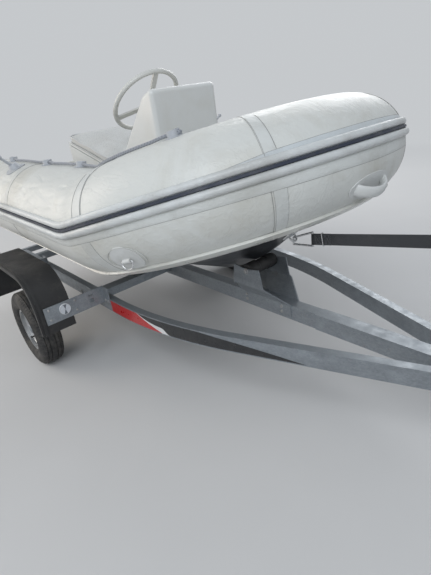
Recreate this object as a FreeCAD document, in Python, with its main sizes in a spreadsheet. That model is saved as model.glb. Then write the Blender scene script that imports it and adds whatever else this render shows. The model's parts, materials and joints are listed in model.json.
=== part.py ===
import FreeCAD, Part
import math
import os
import Sketcher

# Rigid inflatable boat with a jockey console, standing on its single-axle road trailer.
# Frame: +X to the bow and the tow coupling, +Y to port, +Z up, the ground at zero.
# Stations along X in the size sheet are measured from the wheel axle, forward positive.

os.makedirs("parts", exist_ok=True)
doc = FreeCAD.newDocument("InflatableRibBoatOnTrailer")

# Driving sizes in millimetres and degrees, one row each: name, value.
SIZE_ROWS = (
    # collar
    ("collar_radius", 222),
    ("collar_half_spacing", 642),
    ("collar_stern_station", -1300),
    ("sheer_station", 921),
    ("sheer_angle", 14.5),
    ("sheer_bend_radius", 480),
    ("shoulder_lead", 10),
    ("shoulder_radius", 515),
    ("shoulder_turn", 22.5),
    ("cone_length", 240),
    ("cone_end_radius", 75),
    ("cone_plug_length", 18),
    ("skin_gap", 0.3),
    # rub strake
    ("strake_lift_angle", 6),
    ("strake_half_width", 36),
    ("strake_base", 4),
    ("strake_bead_height", 17),
    ("strake_groove_half", 7),
    ("stripe_height", 11),
    ("stripe_side_gap", 0.5),
    # collar fittings, placed by their offset along the centreline from the stern or the bow
    ("patch_thickness", 2.5),
    ("handle_angle", -40),
    ("handle_length", 250),
    ("handle_width", 104),
    ("handle_grip_half", 23),
    ("handle_grip_thickness", 20),
    ("handle_grip_inset", 26),
    ("handle_root", 24),
    ("handle_rise", 42),
    ("lift_bow_offset", 790),
    ("lift_angle", -40),
    ("lift_patch_width", 136),
    ("lift_sleeve_length", 36),
    ("lift_sleeve_wall", 5),
    ("lift_sleeve_rise", 2),
    ("ring_radius", 27),
    ("ring_wire_radius", 3),
    ("holder_radius", 23),
    ("holder_height", 24),
    ("holder_base", 66),
    ("first_holder_offset", 1100),
    ("second_holder_offset", 1644),
    ("third_holder_offset", 1992),
    ("bow_holder_offset", 562),
    ("line_radius", 6.5),
    ("line_gap", 0.4),
    ("line_rest", 3),
    ("line_lead", 40),
    ("rowlock_stern_offset", 1368),
    ("rowlock_angle", 70),
    ("rowlock_base", 112),
    ("rowlock_pin_radius", 8),
    ("rowlock_pin_length", 95),
    ("rowlock_boss_height", 36),
    ("rowlock_boss_radius", 38),
    ("rowlock_boss_top", 22),
    ("rowlock_ball_radius", 13),
    # seat flange of the hull
    ("flange_inner_angle", 120),
    ("flange_outer_angle", 60),
    ("flange_thickness", 11),
    # hull and cockpit
    ("transom_station", -1200),
    ("transom_thickness", 45),
    ("transom_rise", 78),
    ("transom_side_inset", 40),
    ("transom_cheek_drop", 178),
    ("transom_shoulder_drop", 111),
    ("motor_well_depth", 35),
    ("motor_well_half", 235),
    ("motor_pad_width", 300),
    ("motor_pad_height", 190),
    ("motor_pad_thickness", 10),
    ("motor_pad_drop", 12),
    ("keel_clearance", 80),
    ("collar_over_keel", 462),
    ("keel_half_width", 14),
    ("keel_rise_station", 820),
    ("chine_drop", 24),
    ("chine_gap", 0.5),
    ("chine_least_rise", 4),
    ("stem_tip_drop", 9.6),
    ("deck_drop", 176),
    ("deck_thickness", 10),
    # console and wheel
    ("console_front_station", 742),
    ("console_half_width", 205),
    ("console_front_rise", 674),
    ("console_brow_station", 650),
    ("console_brow_drop", 30),
    ("console_rear_station", 371),
    ("console_foot_station", 410),
    ("console_edge_radius", 22),
    ("helm_tilt", 44),
    ("helm_along", 172),
    ("helm_standoff", 167),
    ("helm_rim_radius", 197),
    ("helm_rim_thickness", 13),
    ("helm_hub_radius", 34),
    ("helm_hub_height", 26),
    ("helm_hub_wall", 6),
    ("helm_shaft_radius", 9),
    ("helm_boss_radius", 45),
    ("helm_boss_top", 25),
    ("helm_boss_height", 34),
    ("helm_disc_height", 8),
    ("helm_disc_border", 14),
    ("helm_dish", 42),
    ("helm_spoke_width", 30),
    ("helm_spoke_thickness", 10),
    # seat
    ("seat_rear_station", -276),
    ("seat_length", 530),
    ("seat_half_width", 240),
    ("seat_rear_rise", 413),
    ("seat_slope", 15),
    ("seat_wall", 8),
    ("seat_lid_gap", 6),
    ("seat_lid_thickness", 14),
    ("cushion_thickness", 92),
    ("cushion_edge_radius", 24),
    ("cushion_overhang", 8),
    ("seat_hinge_radius", 7),
    ("seat_pin_radius", 3.5),
    ("seat_hinge_leaf", 3),
    ("seat_hinge_length", 300),
    ("seat_knuckle_gap", 2),
    ("seat_hinge_wall_gap", 1),
    ("lid_leaf_height", 14),
    ("locker_leaf_height", 36),
    # road wheels
    ("axle_height", 243),
    ("wheel_half_track", 865),
    ("tyre_width", 145),
    ("tyre_cheek_rise", 14),
    ("tyre_cheek_inset", 8),
    ("tyre_belly_rise", 55),
    ("tyre_shoulder_drop", 22),
    ("tyre_tread_drop", 5),
    ("tyre_tread_inset", 21),
    ("tyre_crown_inset", 34),
    ("rim_radius", 127),
    ("rim_width", 104),
    ("rim_flange", 10),
    ("rim_wall", 5),
    ("rim_disc_offset", 26),
    ("rim_hole_circle", 84),
    ("rim_hole_radius", 10),
    ("stub_radius", 15),
    ("running_gap", 0.05),
    # trailer frame
    ("rail_half_spacing", 540),
    ("rail_width", 40),
    ("rail_depth", 80),
    ("frame_top", 450),
    ("frame_rear_station", -1020),
    ("rail_bend_station", 962),
    ("rail_bend_radius", 2200),
    ("rail_angle", 20.5),
    ("keel_beam_width", 60),
    ("drawbar_width", 70),
    ("drawbar_station", 1530),
    ("coupling_station", 3050),
    ("front_cross_station", 330),
    ("rear_cross_station", -800),
    ("cross_width", 50),
    ("axle_tube", 60),
    ("axle_tube_lead", 125),
    ("arm_thickness", 16),
    ("arm_offset", 60),
    ("arm_eye_wall", 11),
    ("arm_boss_radius", 33),
    ("arm_collar_step", 2),
    ("stub_reach", 32),
    ("hub_side_gap", 2),
    ("hub_reach", 60),
    ("hub_radius", 32),
    ("guard_width", 190),
    ("guard_inset", 10),
    ("guard_clearance", 204),
    ("guard_skirt", 122),
    ("guard_front_gap", 190),
    ("guard_rear_gap", 170),
    ("guard_corner", 190),
    ("guard_thickness", 4),
    ("guard_lip", 26),
    ("guard_bead_height", 7),
    ("guard_bead_width", 18),
    ("guard_bead_inset", 22),
    ("bracket_thickness", 5),
    ("bracket_height", 100),
    ("bracket_drop", 30),
    ("bracket_foot", 70),
    ("bracket_border", 40),
    ("bracket_hole_side", 26),
    ("bracket_slot_height", 9),
    ("bracket_hole_inset", 80),
    ("bracket_hole_rise", 26),
    ("bracket_slot_rise", 68),
    ("reflector_radius", 30),
    ("reflector_thickness", 12),
    ("reflector_inset", 110),
    ("reflector_rise", 60),
    # rollers and hull supports
    ("roller_radius", 33),
    ("roller_groove_depth", 4),
    ("roller_length", 190),
    ("roller_pin_radius", 8),
    ("roller_pin_reach", 8),
    ("roller_groove_half", 28),
    ("roller_side_gap", 4),
    ("roller_horn_reach", 86),
    ("roller_horn_rise", 24),
    ("roller_saddle_half", 22),
    ("roller_saddle_rise", 14),
    ("roller_cheek_drop", 62),
    ("roller_cheek_tail", 120),
    ("roller_horn_foot", 103),
    ("roller_cheek_nose", 120),
    ("front_cheek_nose", 215),
    ("rear_cheek_nose", 70),
    ("front_roller_station", 1150),
    ("mid_roller_station", 40),
    ("bunk_length", 600),
    ("bunk_width", 60),
    ("bunk_thickness", 38),
    ("bunk_offset", 385),
    ("bunk_post", 40),
    ("bunk_cap_length", 120),
    ("bunk_cap_thickness", 6),
    # winch
    ("winch_post_station", 2430),
    ("winch_post_width", 60),
    ("winch_post_rise", 610),
    ("winch_foot_length", 150),
    ("winch_foot_thickness", 8),
    ("winch_station", 2336),
    ("winch_rise", 442),
    ("winch_coil_radius", 40),
    ("winch_disc_radius", 48),
    ("winch_disc_thickness", 3),
    ("winch_disc_gap", 1),
    ("winch_shaft_end", 9),
    ("winch_core_radius", 16),
    ("winch_shaft_radius", 10),
    ("winch_cheek_gap", 14),
    ("winch_cheek_thickness", 4),
    ("winch_cheek_half", 62),
    ("winch_cheek_tip", 26),
    ("crank_standoff", 36),
    ("crank_drop", 140),
    ("crank_rake", 40),
    ("crank_half_width", 11),
    ("crank_thickness", 6),
    ("crank_eye_radius", 17),
    ("crank_grip_radius", 14),
    ("crank_grip_length", 90),
    ("strap_width", 50),
    ("strap_thickness", 2.4),
    ("strap_seam_length", 90),
    ("bow_stop_station", 2230),
    ("bow_stop_drop", 40),
    ("bow_stop_half", 62),
    ("bow_stop_depth", 80),
    ("bow_stop_valley", 24),
    ("bow_stop_chamfer", 12),
    ("bow_stop_thickness", 66),
    ("stop_arm_width", 40),
    ("bow_eye_drop", 185),
    ("bow_eye_half", 19),
    ("bow_eye_reach", 16),
    ("bow_eye_wire_radius", 4.5),
    ("bow_eye_plate_length", 52),
    ("bow_eye_plate_border", 15),
    ("bow_eye_plate_thickness", 3),
    ("hook_wire_radius", 4.5),
    ("hook_reach", 100),
    ("hook_rise", 26),
    ("hook_throat", 16),
    ("hook_side_gap", 2),
    # coupling and jockey wheel
    ("ball_radius", 25.2),
    ("ball_drop", 45),
    ("ball_station", 3105),
    ("coupling_nose", 3150),
    ("coupling_overlap", 90),
    ("coupling_wall", 4),
    ("coupling_crown", 40),
    ("coupling_skirt", 12),
    ("coupling_bridge_drop", 10),
    ("coupling_bridge_height", 50),
    ("coupling_bridge_width", 68),
    ("coupling_neck_reach", 32),
    ("lever_radius", 7),
    ("lever_length", 150),
    ("lever_rise", 86),
    ("lever_bend_rise", 64),
    ("jockey_station", 2720),
    ("jockey_offset", 90),
    ("jockey_tube_radius", 24),
    ("jockey_leg_radius", 19),
    ("jockey_tube_below", 110),
    ("jockey_tube_above", 350),
    ("jockey_clamp_wall", 6),
    ("jockey_clamp_inset", 8),
    ("jockey_clamp_plate", 110),
    ("jockey_clamp_arm", 40),
    ("jockey_plate_thickness", 8),
    ("jockey_cap_wall", 12),
    ("jockey_leg_top_gap", 150),
    ("jockey_spindle_radius", 9),
    ("jockey_spindle_rise", 22),
    ("jockey_handle_length", 118),
    ("jockey_handle_width", 20),
    ("jockey_handle_thickness", 8),
    ("jockey_knob_radius", 13),
    ("jockey_knob_height", 74),
    ("jockey_wheel_radius", 100),
    ("jockey_wheel_width", 50),
    ("jockey_wheel_shoulder", 12),
    ("jockey_dish_depth", 8.5),
    ("jockey_dish_radius", 62),
    ("jockey_hub_radius", 18),
    ("jockey_axle_radius", 6),
    ("jockey_trail", 45),
    ("fork_top_gap", 14),
    ("fork_side_gap", 6),
    ("fork_thickness", 5),
    ("fork_crown_thickness", 8),
    ("fork_head_radius", 26),
    ("fork_head_height", 11.5),
    ("fork_front_reach", 60),
    ("fork_rear_reach", 30),
    ("fork_eye_radius", 20),
    # lights
    ("light_station", -1150),
    ("light_half_width", 900),
    ("light_bar", 40),
    ("light_arm_width", 30),
    ("light_arm_drop", 70),
    ("lamp_drop", 20),
    ("lamp_width", 210),
    ("lamp_height", 100),
    ("lamp_depth", 48),
)

# Sizes that follow from others: name, formula in the sheet.
DERIVED_ROWS = (
    ("frame_bottom", "frame_top - rail_depth"),
    ("keel_height", "frame_top + keel_clearance"),
    ("collar_height", "keel_height + collar_over_keel"),
    ("hull_top", "collar_height - deck_drop"),
    ("deck_top", "hull_top + deck_thickness"),
    ("transom_top", "collar_height + transom_rise"),
    ("motor_well_top", "transom_top - motor_well_depth"),
    ("console_front_top", "deck_top + console_front_rise"),
    ("console_brow_top", "console_front_top - console_brow_drop"),
    ("seat_rear_top", "deck_top + seat_rear_rise"),
    ("bow_eye_height", "collar_height - bow_eye_drop"),
    ("rail_outer", "rail_half_spacing + rail_width / 2"),
    ("rail_inner", "rail_half_spacing - rail_width / 2"),
    ("guard_top", "axle_height * 2 + guard_clearance"),
    ("guard_low", "axle_height + guard_skirt"),
    ("guard_middle", "wheel_half_track - guard_inset"),
    ("winch_post_top", "frame_top + winch_post_rise"),
    ("winch_height", "frame_top + winch_rise"),
    ("bow_stop_height", "winch_post_top - bow_stop_drop"),
    ("ball_height", "frame_top - ball_drop"),
    ("jockey_tube_bottom", "frame_top - jockey_tube_below"),
    ("jockey_tube_top", "frame_top + jockey_tube_above"),
    ("winch_cheek_inner", "strap_width / 2 + winch_cheek_gap / 2"),
)

sheet = doc.addObject("Spreadsheet::Sheet", "Sizes")


class Size:
    """A size with its value and the text of its sheet expression."""

    def __init__(self, value, text):
        self.value = float(value)
        self.text = text

    def __add__(self, other):
        return Size(self.value + value_of(other), "(%s + %s)" % (self.text, text_of(other)))

    def __radd__(self, other):
        return Size(value_of(other) + self.value, "(%s + %s)" % (text_of(other), self.text))

    def __sub__(self, other):
        return Size(self.value - value_of(other), "(%s - %s)" % (self.text, text_of(other)))

    def __rsub__(self, other):
        return Size(value_of(other) - self.value, "(%s - %s)" % (text_of(other), self.text))

    def __mul__(self, other):
        return Size(self.value * value_of(other), "(%s * %s)" % (self.text, text_of(other)))

    def __rmul__(self, other):
        return self * other

    def __truediv__(self, other):
        return Size(self.value / value_of(other), "(%s / %s)" % (self.text, text_of(other)))

    def __neg__(self):
        return Size(-self.value, "(0 - %s)" % self.text)


def value_of(size):
    return size.value if isinstance(size, Size) else float(size)


def text_of(size):
    return size.text if isinstance(size, Size) else "(%r)" % float(size)


def sine(angle):
    return Size(math.sin(math.radians(value_of(angle))), "sin(%s)" % text_of(angle))


def cosine(angle):
    return Size(math.cos(math.radians(value_of(angle))), "cos(%s)" % text_of(angle))


def tangent(angle):
    return Size(math.tan(math.radians(value_of(angle))), "tan(%s)" % text_of(angle))


class SizeSheet:
    """Named sizes, each one cell of the sheet."""


S = SizeSheet()
rows = [(name, str(value)) for name, value in SIZE_ROWS]
rows += [(name, "=" + formula) for name, formula in DERIVED_ROWS]
for row, (name, content) in enumerate(rows, start=1):
    sheet.set("A%d" % row, name.replace("_", " "))
    sheet.set("B%d" % row, content)
    sheet.setAlias("B%d" % row, name)
doc.recompute()
for name, _ in rows:
    setattr(S, name, Size(sheet.get(name), "Sizes." + name))

# The origin lies on the ground, midway between the collar's tail and the coupling's nose.
tail_station = S.collar_stern_station - S.cone_length - S.cone_plug_length
axle_station = -(S.coupling_nose + tail_station) / 2

X = FreeCAD.Vector(1, 0, 0)
Y = FreeCAD.Vector(0, 1, 0)
Z = FreeCAD.Vector(0, 0, 1)


def vector(x, y, z):
    return FreeCAD.Vector(value_of(x), value_of(y), value_of(z))


# Helpers that bind features to the sheet.

NODES = {}


def bind(thing, path, size):
    """Set a property from a size and keep it tied to the sheet."""
    if isinstance(size, Size):
        thing.setExpression(path, size.text)
    else:
        thing.setExpression(path, text_of(size))


def node(name, thing, x=0, y=0, z=0):
    """Register a finished sub-part under its name and stand it in the common frame."""
    thing.Label = name
    bind(thing, "Placement.Base.x", axle_station + x)
    bind(thing, "Placement.Base.y", y)
    bind(thing, "Placement.Base.z", z)
    NODES[name] = thing
    return thing


def shape_node(name, shape):
    """Register a sub-part whose shape was made directly from the sheet's values."""
    thing = doc.addObject("Part::Feature", "shape_" + name)
    thing.Shape = shape
    return node(name, thing)


def place(thing, x, y, z):
    bind(thing, "Placement.Base.x", x)
    bind(thing, "Placement.Base.y", y)
    bind(thing, "Placement.Base.z", z)
    return thing


def turn(thing, axis, angle=90):
    thing.Placement = FreeCAD.Placement(thing.Placement.Base, FreeCAD.Rotation(axis, value_of(angle)))
    if isinstance(angle, Size):
        thing.setExpression("Placement.Rotation.Angle", angle.text)
    return thing


def box(name, x, y, z, length, width, height):
    """A box from its middle in X and Y and its underside."""
    thing = doc.addObject("Part::Box", name)
    bind(thing, "Length", length)
    bind(thing, "Width", width)
    bind(thing, "Height", height)
    return place(thing, x - length / 2, y - width / 2, z)


def cylinder(name, x, y, z, radius, length, axis=Z):
    """A cylinder centred on a point, lying along X, Y or Z."""
    thing = doc.addObject("Part::Cylinder", name)
    bind(thing, "Radius", radius)
    bind(thing, "Height", length)
    half = length / 2
    if axis == X:
        turn(thing, Y)
        return place(thing, x - half, y, z)
    if axis == Y:
        turn(thing, X, -90)
        return place(thing, x, y - half, z)
    return place(thing, x, y, z - half)


def fused(name, *things):
    thing = doc.addObject("Part::MultiFuse", name)
    thing.Shapes = list(things)
    thing.Refine = True
    return thing


def cut(name, base, tool):
    thing = doc.addObject("Part::Cut", name)
    thing.Base = base
    thing.Tool = tool
    return thing


def mirrored(thing):
    """The port twin of a starboard piece."""
    twin = doc.addObject("Part::Mirroring", thing.Name + "_port")
    twin.Source = thing
    twin.Normal = Y
    twin.Base = FreeCAD.Vector(0, 0, 0)
    return twin


def together(name, *things):
    thing = doc.addObject("Part::Compound", name + "_set")
    thing.Links = list(things)
    return node(name, thing)


def pair(name, thing):
    return together(name, thing, mirrored(thing))


def body(name):
    return doc.addObject("PartDesign::Body", name)


PLANES = {"plan": "XY_Plane", "side": "XZ_Plane", "cross": "YZ_Plane"}


def sketch(holder, view, offset=0):
    """A sketch on an origin plane: plan at a height, side at a starboard distance, cross at a station."""
    thing = holder.newObject("Sketcher::SketchObject", holder.Name + "_" + view)
    role = PLANES[view]
    plane = [item for item in holder.Origin.OriginFeatures if item.Role == role][0]
    thing.AttachmentSupport = [(plane, "")]
    thing.MapMode = "FlatFace"
    bind(thing, "AttachmentOffset.Base.z", offset)
    return thing


def outline(thing, points):
    """A closed outline of straight edges with every corner tied to the sheet."""
    first = thing.GeometryCount
    count = len(points)
    corners = [vector(x, y, 0) for x, y in points]
    for index in range(count):
        thing.addGeometry(Part.LineSegment(corners[index], corners[(index + 1) % count]))
    for index in range(count):
        following = first + (index + 1) % count
        thing.addConstraint(Sketcher.Constraint("Coincident", first + index, 2, following, 1))
    for index, (x, y) in enumerate(points):
        for kind, size in (("DistanceX", x), ("DistanceY", y)):
            rule = Sketcher.Constraint(kind, -1, 1, first + index, 1, value_of(size))
            number = thing.addConstraint(rule)
            if isinstance(size, Size):
                thing.setExpression("Constraints[%d]" % number, size.text)
    return thing


def circle(thing, x, y, radius):
    index = thing.addGeometry(Part.Circle(vector(x, y, 0), Z, value_of(radius)))
    for kind, size in (("DistanceX", x), ("DistanceY", y)):
        number = thing.addConstraint(Sketcher.Constraint(kind, -1, 1, index, 3, value_of(size)))
        if isinstance(size, Size):
            thing.setExpression("Constraints[%d]" % number, size.text)
    number = thing.addConstraint(Sketcher.Constraint("Radius", index, value_of(radius)))
    if isinstance(radius, Size):
        thing.setExpression("Constraints[%d]" % number, radius.text)
    return thing


def pad(holder, profile, length, symmetric=True):
    thing = holder.newObject("PartDesign::Pad", holder.Name + "_pad")
    thing.Profile = profile
    bind(thing, "Length", length)
    if symmetric:
        thing.SideType = "Symmetric"
    profile.Visibility = False
    return thing


def pocket(holder, profile, length, symmetric=True):
    thing = holder.newObject("PartDesign::Pocket", holder.Name + "_pocket")
    thing.Profile = profile
    bind(thing, "Length", length)
    if symmetric:
        thing.SideType = "Symmetric"
    return thing


def revolve(holder, profile, axis="V_Axis"):
    thing = holder.newObject("PartDesign::Revolution", holder.Name + "_revolution")
    thing.Profile = profile
    thing.ReferenceAxis = (profile, [axis])
    thing.Angle = 360
    return thing


def fillet(holder, feature, radius, wanted):
    """Round the edges of a feature that pass a test."""
    doc.recompute()
    edges = feature.Shape.Edges
    names = ["Edge%d" % (index + 1) for index, edge in enumerate(edges) if wanted(edge)]
    thing = holder.newObject("PartDesign::Fillet", holder.Name + "_fillet")
    thing.Base = (feature, names)
    bind(thing, "Radius", radius)
    return thing


def along(axis, tolerance=0.01):
    """A test for straight edges that run along an axis."""

    def test(edge):
        start, end = edge.Vertexes[0].Point, edge.Vertexes[-1].Point
        run = end.sub(start)
        return run.Length > 1 and run.cross(axis).Length < tolerance * run.Length

    return test


# Collar centreline: straight aft, a bend up to the sheer, then a shoulder arc and a nose arc.


def collar_runs():
    """Runs of the starboard centreline from the stern to the stem: kind, length, radius."""
    tilt = math.radians(S.sheer_angle.value)
    shoulder = math.radians(S.shoulder_turn.value)
    bend_reach = S.sheer_bend_radius.value * math.tan(tilt / 2)
    straight = S.sheer_station.value - bend_reach - S.collar_stern_station.value
    inset = S.shoulder_radius.value * (1 - math.cos(shoulder))
    nose_radius = (S.collar_half_spacing.value - inset) / math.cos(shoulder)
    return (
        ("straight", straight, 0),
        ("rising", S.sheer_bend_radius.value * tilt, S.sheer_bend_radius.value),
        ("straight", S.shoulder_lead.value, 0),
        ("turning", S.shoulder_radius.value * shoulder, S.shoulder_radius.value),
        ("turning", nose_radius * (math.pi / 2 - shoulder), nose_radius),
    )


def collar_frame(distance):
    """Centre, heading, outboard and upward directions at a distance along the starboard side."""
    centre = vector(S.collar_stern_station, -S.collar_half_spacing, S.collar_height)
    heading, inboard, upward = FreeCAD.Vector(X), FreeCAD.Vector(Y), FreeCAD.Vector(Z)
    for kind, length, radius in collar_runs():
        step = min(distance, length)
        distance -= step
        if kind == "straight":
            centre = centre + heading * step
            continue
        side = upward if kind == "rising" else inboard
        angle = step / radius
        centre = centre + heading * (radius * math.sin(angle)) + side * (radius * (1 - math.cos(angle)))
        bent = side * math.cos(angle) - heading * math.sin(angle)
        heading = heading * math.cos(angle) + side * math.sin(angle)
        if kind == "rising":
            upward = bent
        else:
            inboard = bent
        if distance <= 0:
            break
    return centre, heading, inboard * -1, upward


COLLAR_LENGTH = sum(run[1] for run in collar_runs())


def collar_point(distance, radius, angle):
    """A point on a circle about the centreline; the angle runs from outboard towards up."""
    centre, heading, outboard, upward = collar_frame(distance)
    turned = math.radians(angle)
    return centre + outboard * (radius * math.cos(turned)) + upward * (radius * math.sin(turned))


def flipped(point):
    return FreeCAD.Vector(point.x, -point.y, point.z)


def collar_wire():
    """The whole centreline, from the starboard stern round the bow to the port stern."""
    edges = []
    start = 0.0
    for kind, length, radius in collar_runs():
        points = [collar_frame(start + length * share)[0] for share in (0, 0.5, 1)]
        start += length
        if kind == "straight":
            edges.append((points[0], points[2]))
        else:
            edges.append(tuple(points))
    port = [tuple(flipped(point) for point in reversed(run)) for run in reversed(edges)]
    made = []
    for run in edges + port:
        if len(run) == 2:
            made.append(Part.LineSegment(*run).toShape())
        else:
            made.append(Part.Arc(*run).toShape())
    return Part.Wire(made)


def swept_round(radius):
    """A round bar along the whole collar centreline."""
    start, heading = collar_frame(0)[:2]
    ring = Part.Wire(Part.Circle(start, heading, radius).toShape())
    return collar_wire().makePipe(Part.Face(ring))


def polar(radius, angle):
    """A point of a section at the collar's starboard stern end."""
    return collar_point(0, radius, angle)


def swept_section(edges):
    """A closed section at the stern end, swept along the whole collar centreline."""
    return collar_wire().makePipe(Part.Face(Part.Wire(edges)))


def chain(points):
    """Straight and three-point arc edges through a closed list of runs."""
    edges = []
    for run in points:
        edges.append(Part.Arc(*run).toShape() if len(run) == 3 else Part.LineSegment(*run).toShape())
    return edges


# Collar: the air chamber with its cone ends.


def make_collar():
    radius = S.collar_radius.value
    shape = swept_round(radius)
    start = collar_frame(0)[0]
    cone = Part.makeCone(radius, S.cone_end_radius.value, S.cone_length.value, start, X * -1)
    plug_start = start - X * S.cone_length.value
    plug = Part.makeCylinder(S.cone_end_radius.value, S.cone_plug_length.value, plug_start, X * -1)
    tail = cone.fuse(plug)
    shape = shape.fuse([tail, tail.mirror(FreeCAD.Vector(0, 0, 0), Y)]).removeSplitter()
    return shape


collar = shape_node("collar_tube", make_collar())
collar_clearance = swept_round(S.collar_radius.value + S.skin_gap.value)


# Rub strake: two beads with a groove that holds the dark stripe.


def strake_point(height, rise):
    """A point of the strake's section by its height off the skin and its place up the skin."""
    radius = S.collar_radius.value + S.skin_gap.value + height
    angle = S.strake_lift_angle.value + math.degrees(rise / S.collar_radius.value)
    return polar(radius, angle)


def make_strake():
    half = S.strake_half_width.value
    base = S.strake_base.value
    crest = S.strake_bead_height.value
    groove = S.strake_groove_half.value
    middle = (half + groove) / 2
    runs = []
    runs.append((strake_point(0, half), strake_point(0, 0), strake_point(0, -half)))
    runs.append((strake_point(0, -half), strake_point(base, -half)))
    runs.append((strake_point(base, -half), strake_point(crest, -middle), strake_point(base, -groove)))
    runs.append((strake_point(base, -groove), strake_point(base, groove)))
    runs.append((strake_point(base, groove), strake_point(crest, middle), strake_point(base, half)))
    runs.append((strake_point(base, half), strake_point(0, half)))
    return swept_section(chain(runs))


def make_stripe():
    base = S.strake_base.value + S.skin_gap.value
    top = S.stripe_height.value
    low_half = S.strake_groove_half.value - S.stripe_side_gap.value
    high_half = low_half - S.stripe_side_gap.value * 4
    runs = []
    runs.append((strake_point(base, low_half), strake_point(base, -low_half)))
    runs.append((strake_point(base, -low_half), strake_point(top, -high_half)))
    runs.append((strake_point(top, -high_half), strake_point(top, high_half)))
    runs.append((strake_point(top, high_half), strake_point(base, low_half)))
    return swept_section(chain(runs))


shape_node("rub_strake", make_strake())
shape_node("strake_stripe", make_stripe())


# Hull flange: a concentric band under the collar that the collar is bonded to.


def make_flange():
    inner = S.collar_radius.value + S.skin_gap.value
    outer = inner + S.flange_thickness.value
    start, end = -S.flange_inner_angle.value, -S.flange_outer_angle.value
    middle = (start + end) / 2
    runs = []
    runs.append((polar(inner, start), polar(inner, middle), polar(inner, end)))
    runs.append((polar(inner, end), polar(outer, end)))
    runs.append((polar(outer, end), polar(outer, middle), polar(outer, start)))
    runs.append((polar(outer, start), polar(inner, start)))
    return swept_section(chain(runs))


# The flange starts at the transom's aft face.
half_width = S.collar_half_spacing.value + S.collar_radius.value * 2
behind_transom = Part.makeBox(
    S.transom_station.value - S.collar_stern_station.value + S.collar_radius.value,
    half_width * 2,
    S.collar_radius.value * 4,
    vector(S.collar_stern_station - S.collar_radius, -half_width, S.collar_height - S.collar_radius * 2),
)
flange_shape = make_flange().cut(behind_transom)
shape_node("hull_flange", flange_shape)


# Hull bottom: a straight V aft and a stem that sweeps up to the nose of the flange.
STEM_POWER = 1.75


def chine_at(station):
    """Half-breadth and height of the chine, just inside the flange, at a station."""
    low, high = 0.0, COLLAR_LENGTH
    radius = S.collar_radius.value + S.skin_gap.value + S.flange_thickness.value
    angle = -S.flange_inner_angle.value
    for _ in range(50):
        middle = (low + high) / 2
        if collar_point(middle, radius, angle).x < station:
            low = middle
        else:
            high = middle
    point = collar_point(low, radius, angle)
    return abs(point.y), point.z


def stem_height(station):
    """Height of the keel line: level aft, then a rising curve up to the stem."""
    ahead = max(0.0, station - S.keel_rise_station.value)
    tip = stem_tip()
    reach = tip.x - S.keel_rise_station.value
    climb = tip.z - S.stem_tip_drop.value - S.keel_height.value
    return S.keel_height.value + climb * (ahead / reach) ** STEM_POWER


def stem_tip():
    """Where the chine closes on the middle plane."""
    radius = S.collar_radius.value + S.skin_gap.value + S.flange_thickness.value
    return collar_point(COLLAR_LENGTH, radius, -S.flange_inner_angle.value)


def sole_height(station):
    """Height of the hull's flat top at a station: it follows the chine's sheer."""
    return chine_at(station)[1] + S.hull_top.value - chine_at(0)[1]


def hull_breadth(station):
    """Half-breadth of the hull at a station, just clear of the flange, never narrower than the keel."""
    return max(chine_at(station)[0] - S.chine_gap.value, S.keel_half_width.value)


def hull_section(station):
    """One frame of the hull as a closed wire: keel flat, chines and a flat top."""
    half = hull_breadth(station)
    keel = stem_height(station)
    keel_half = min(S.keel_half_width.value, half / 2)
    low = max(chine_at(station)[1] - S.chine_drop.value, keel + S.chine_least_rise.value)
    corners = ((keel_half, keel), (half, low), (half, sole_height(station)))
    points = [FreeCAD.Vector(station, y, z) for y, z in corners]
    points += [flipped(point) for point in reversed(points)]
    return Part.makePolygon(points + points[:1])


HULL_FRAMES = (0.0, 0.16, 0.33, 0.5, 0.66, 0.8, 0.9, 0.965)


def hull_stations():
    """Frames along the hull: the transom, the start of the rise, then closer towards the stem."""
    rise = S.keel_rise_station.value
    reach = stem_tip().x - rise
    front = S.transom_station.value + S.transom_thickness.value
    return [front] + [rise + reach * share for share in HULL_FRAMES]


def make_hull():
    frames = [hull_section(station) for station in hull_stations()]
    return Part.makeLoft(frames, True, True)


hull_blank = make_hull()
hull_shape = hull_blank.cut(collar_clearance)
hull_shape = hull_shape.cut(flange_shape)
shape_node("hull_bottom", max(hull_shape.Solids, key=lambda solid: solid.Volume))


def make_deck():
    """The cockpit floor: a thin liner on the hull's top, following its sheer."""
    frames = []
    for station in hull_stations():
        low = sole_height(station)
        half = hull_breadth(station)
        points = [vector(station, half, z) for z in (low, low + S.deck_thickness.value)]
        points += [flipped(point) for point in reversed(points)]
        frames.append(Part.makePolygon(points + points[:1]))
    liner = Part.makeLoft(frames, True, True).cut(collar_clearance)
    return max(liner.Solids, key=lambda solid: solid.Volume)


shape_node("cockpit_deck", make_deck())


# Transom with its motor pads.


def make_transom():
    """The transom board: the hull's section below, shoulders against the collar and the motor well."""
    station = S.transom_station.value
    thickness = S.transom_thickness.value
    half = hull_breadth(station + thickness)
    chine = chine_at(station + thickness)[1] - S.chine_drop.value
    collar_middle = S.collar_height.value
    side = S.collar_half_spacing.value - S.transom_side_inset.value
    slope = S.transom_top.value - S.motor_well_top.value
    corners = (
        (S.keel_half_width.value, S.keel_height.value),
        (half, chine),
        (half, collar_middle - S.transom_cheek_drop.value),
        (side, collar_middle - S.transom_shoulder_drop.value),
        (side, S.transom_top.value),
        (S.motor_well_half.value + slope, S.transom_top.value),
        (S.motor_well_half.value, S.motor_well_top.value),
    )
    points = [FreeCAD.Vector(station, y, z) for y, z in corners]
    points += [flipped(point) for point in reversed(points)]
    board = Part.Face(Part.makePolygon(points + points[:1])).extrude(X * thickness)
    board = board.cut(collar_clearance).cut(flange_shape)
    return max(board.Solids, key=lambda solid: solid.Volume)


shape_node("transom", make_transom())

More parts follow.
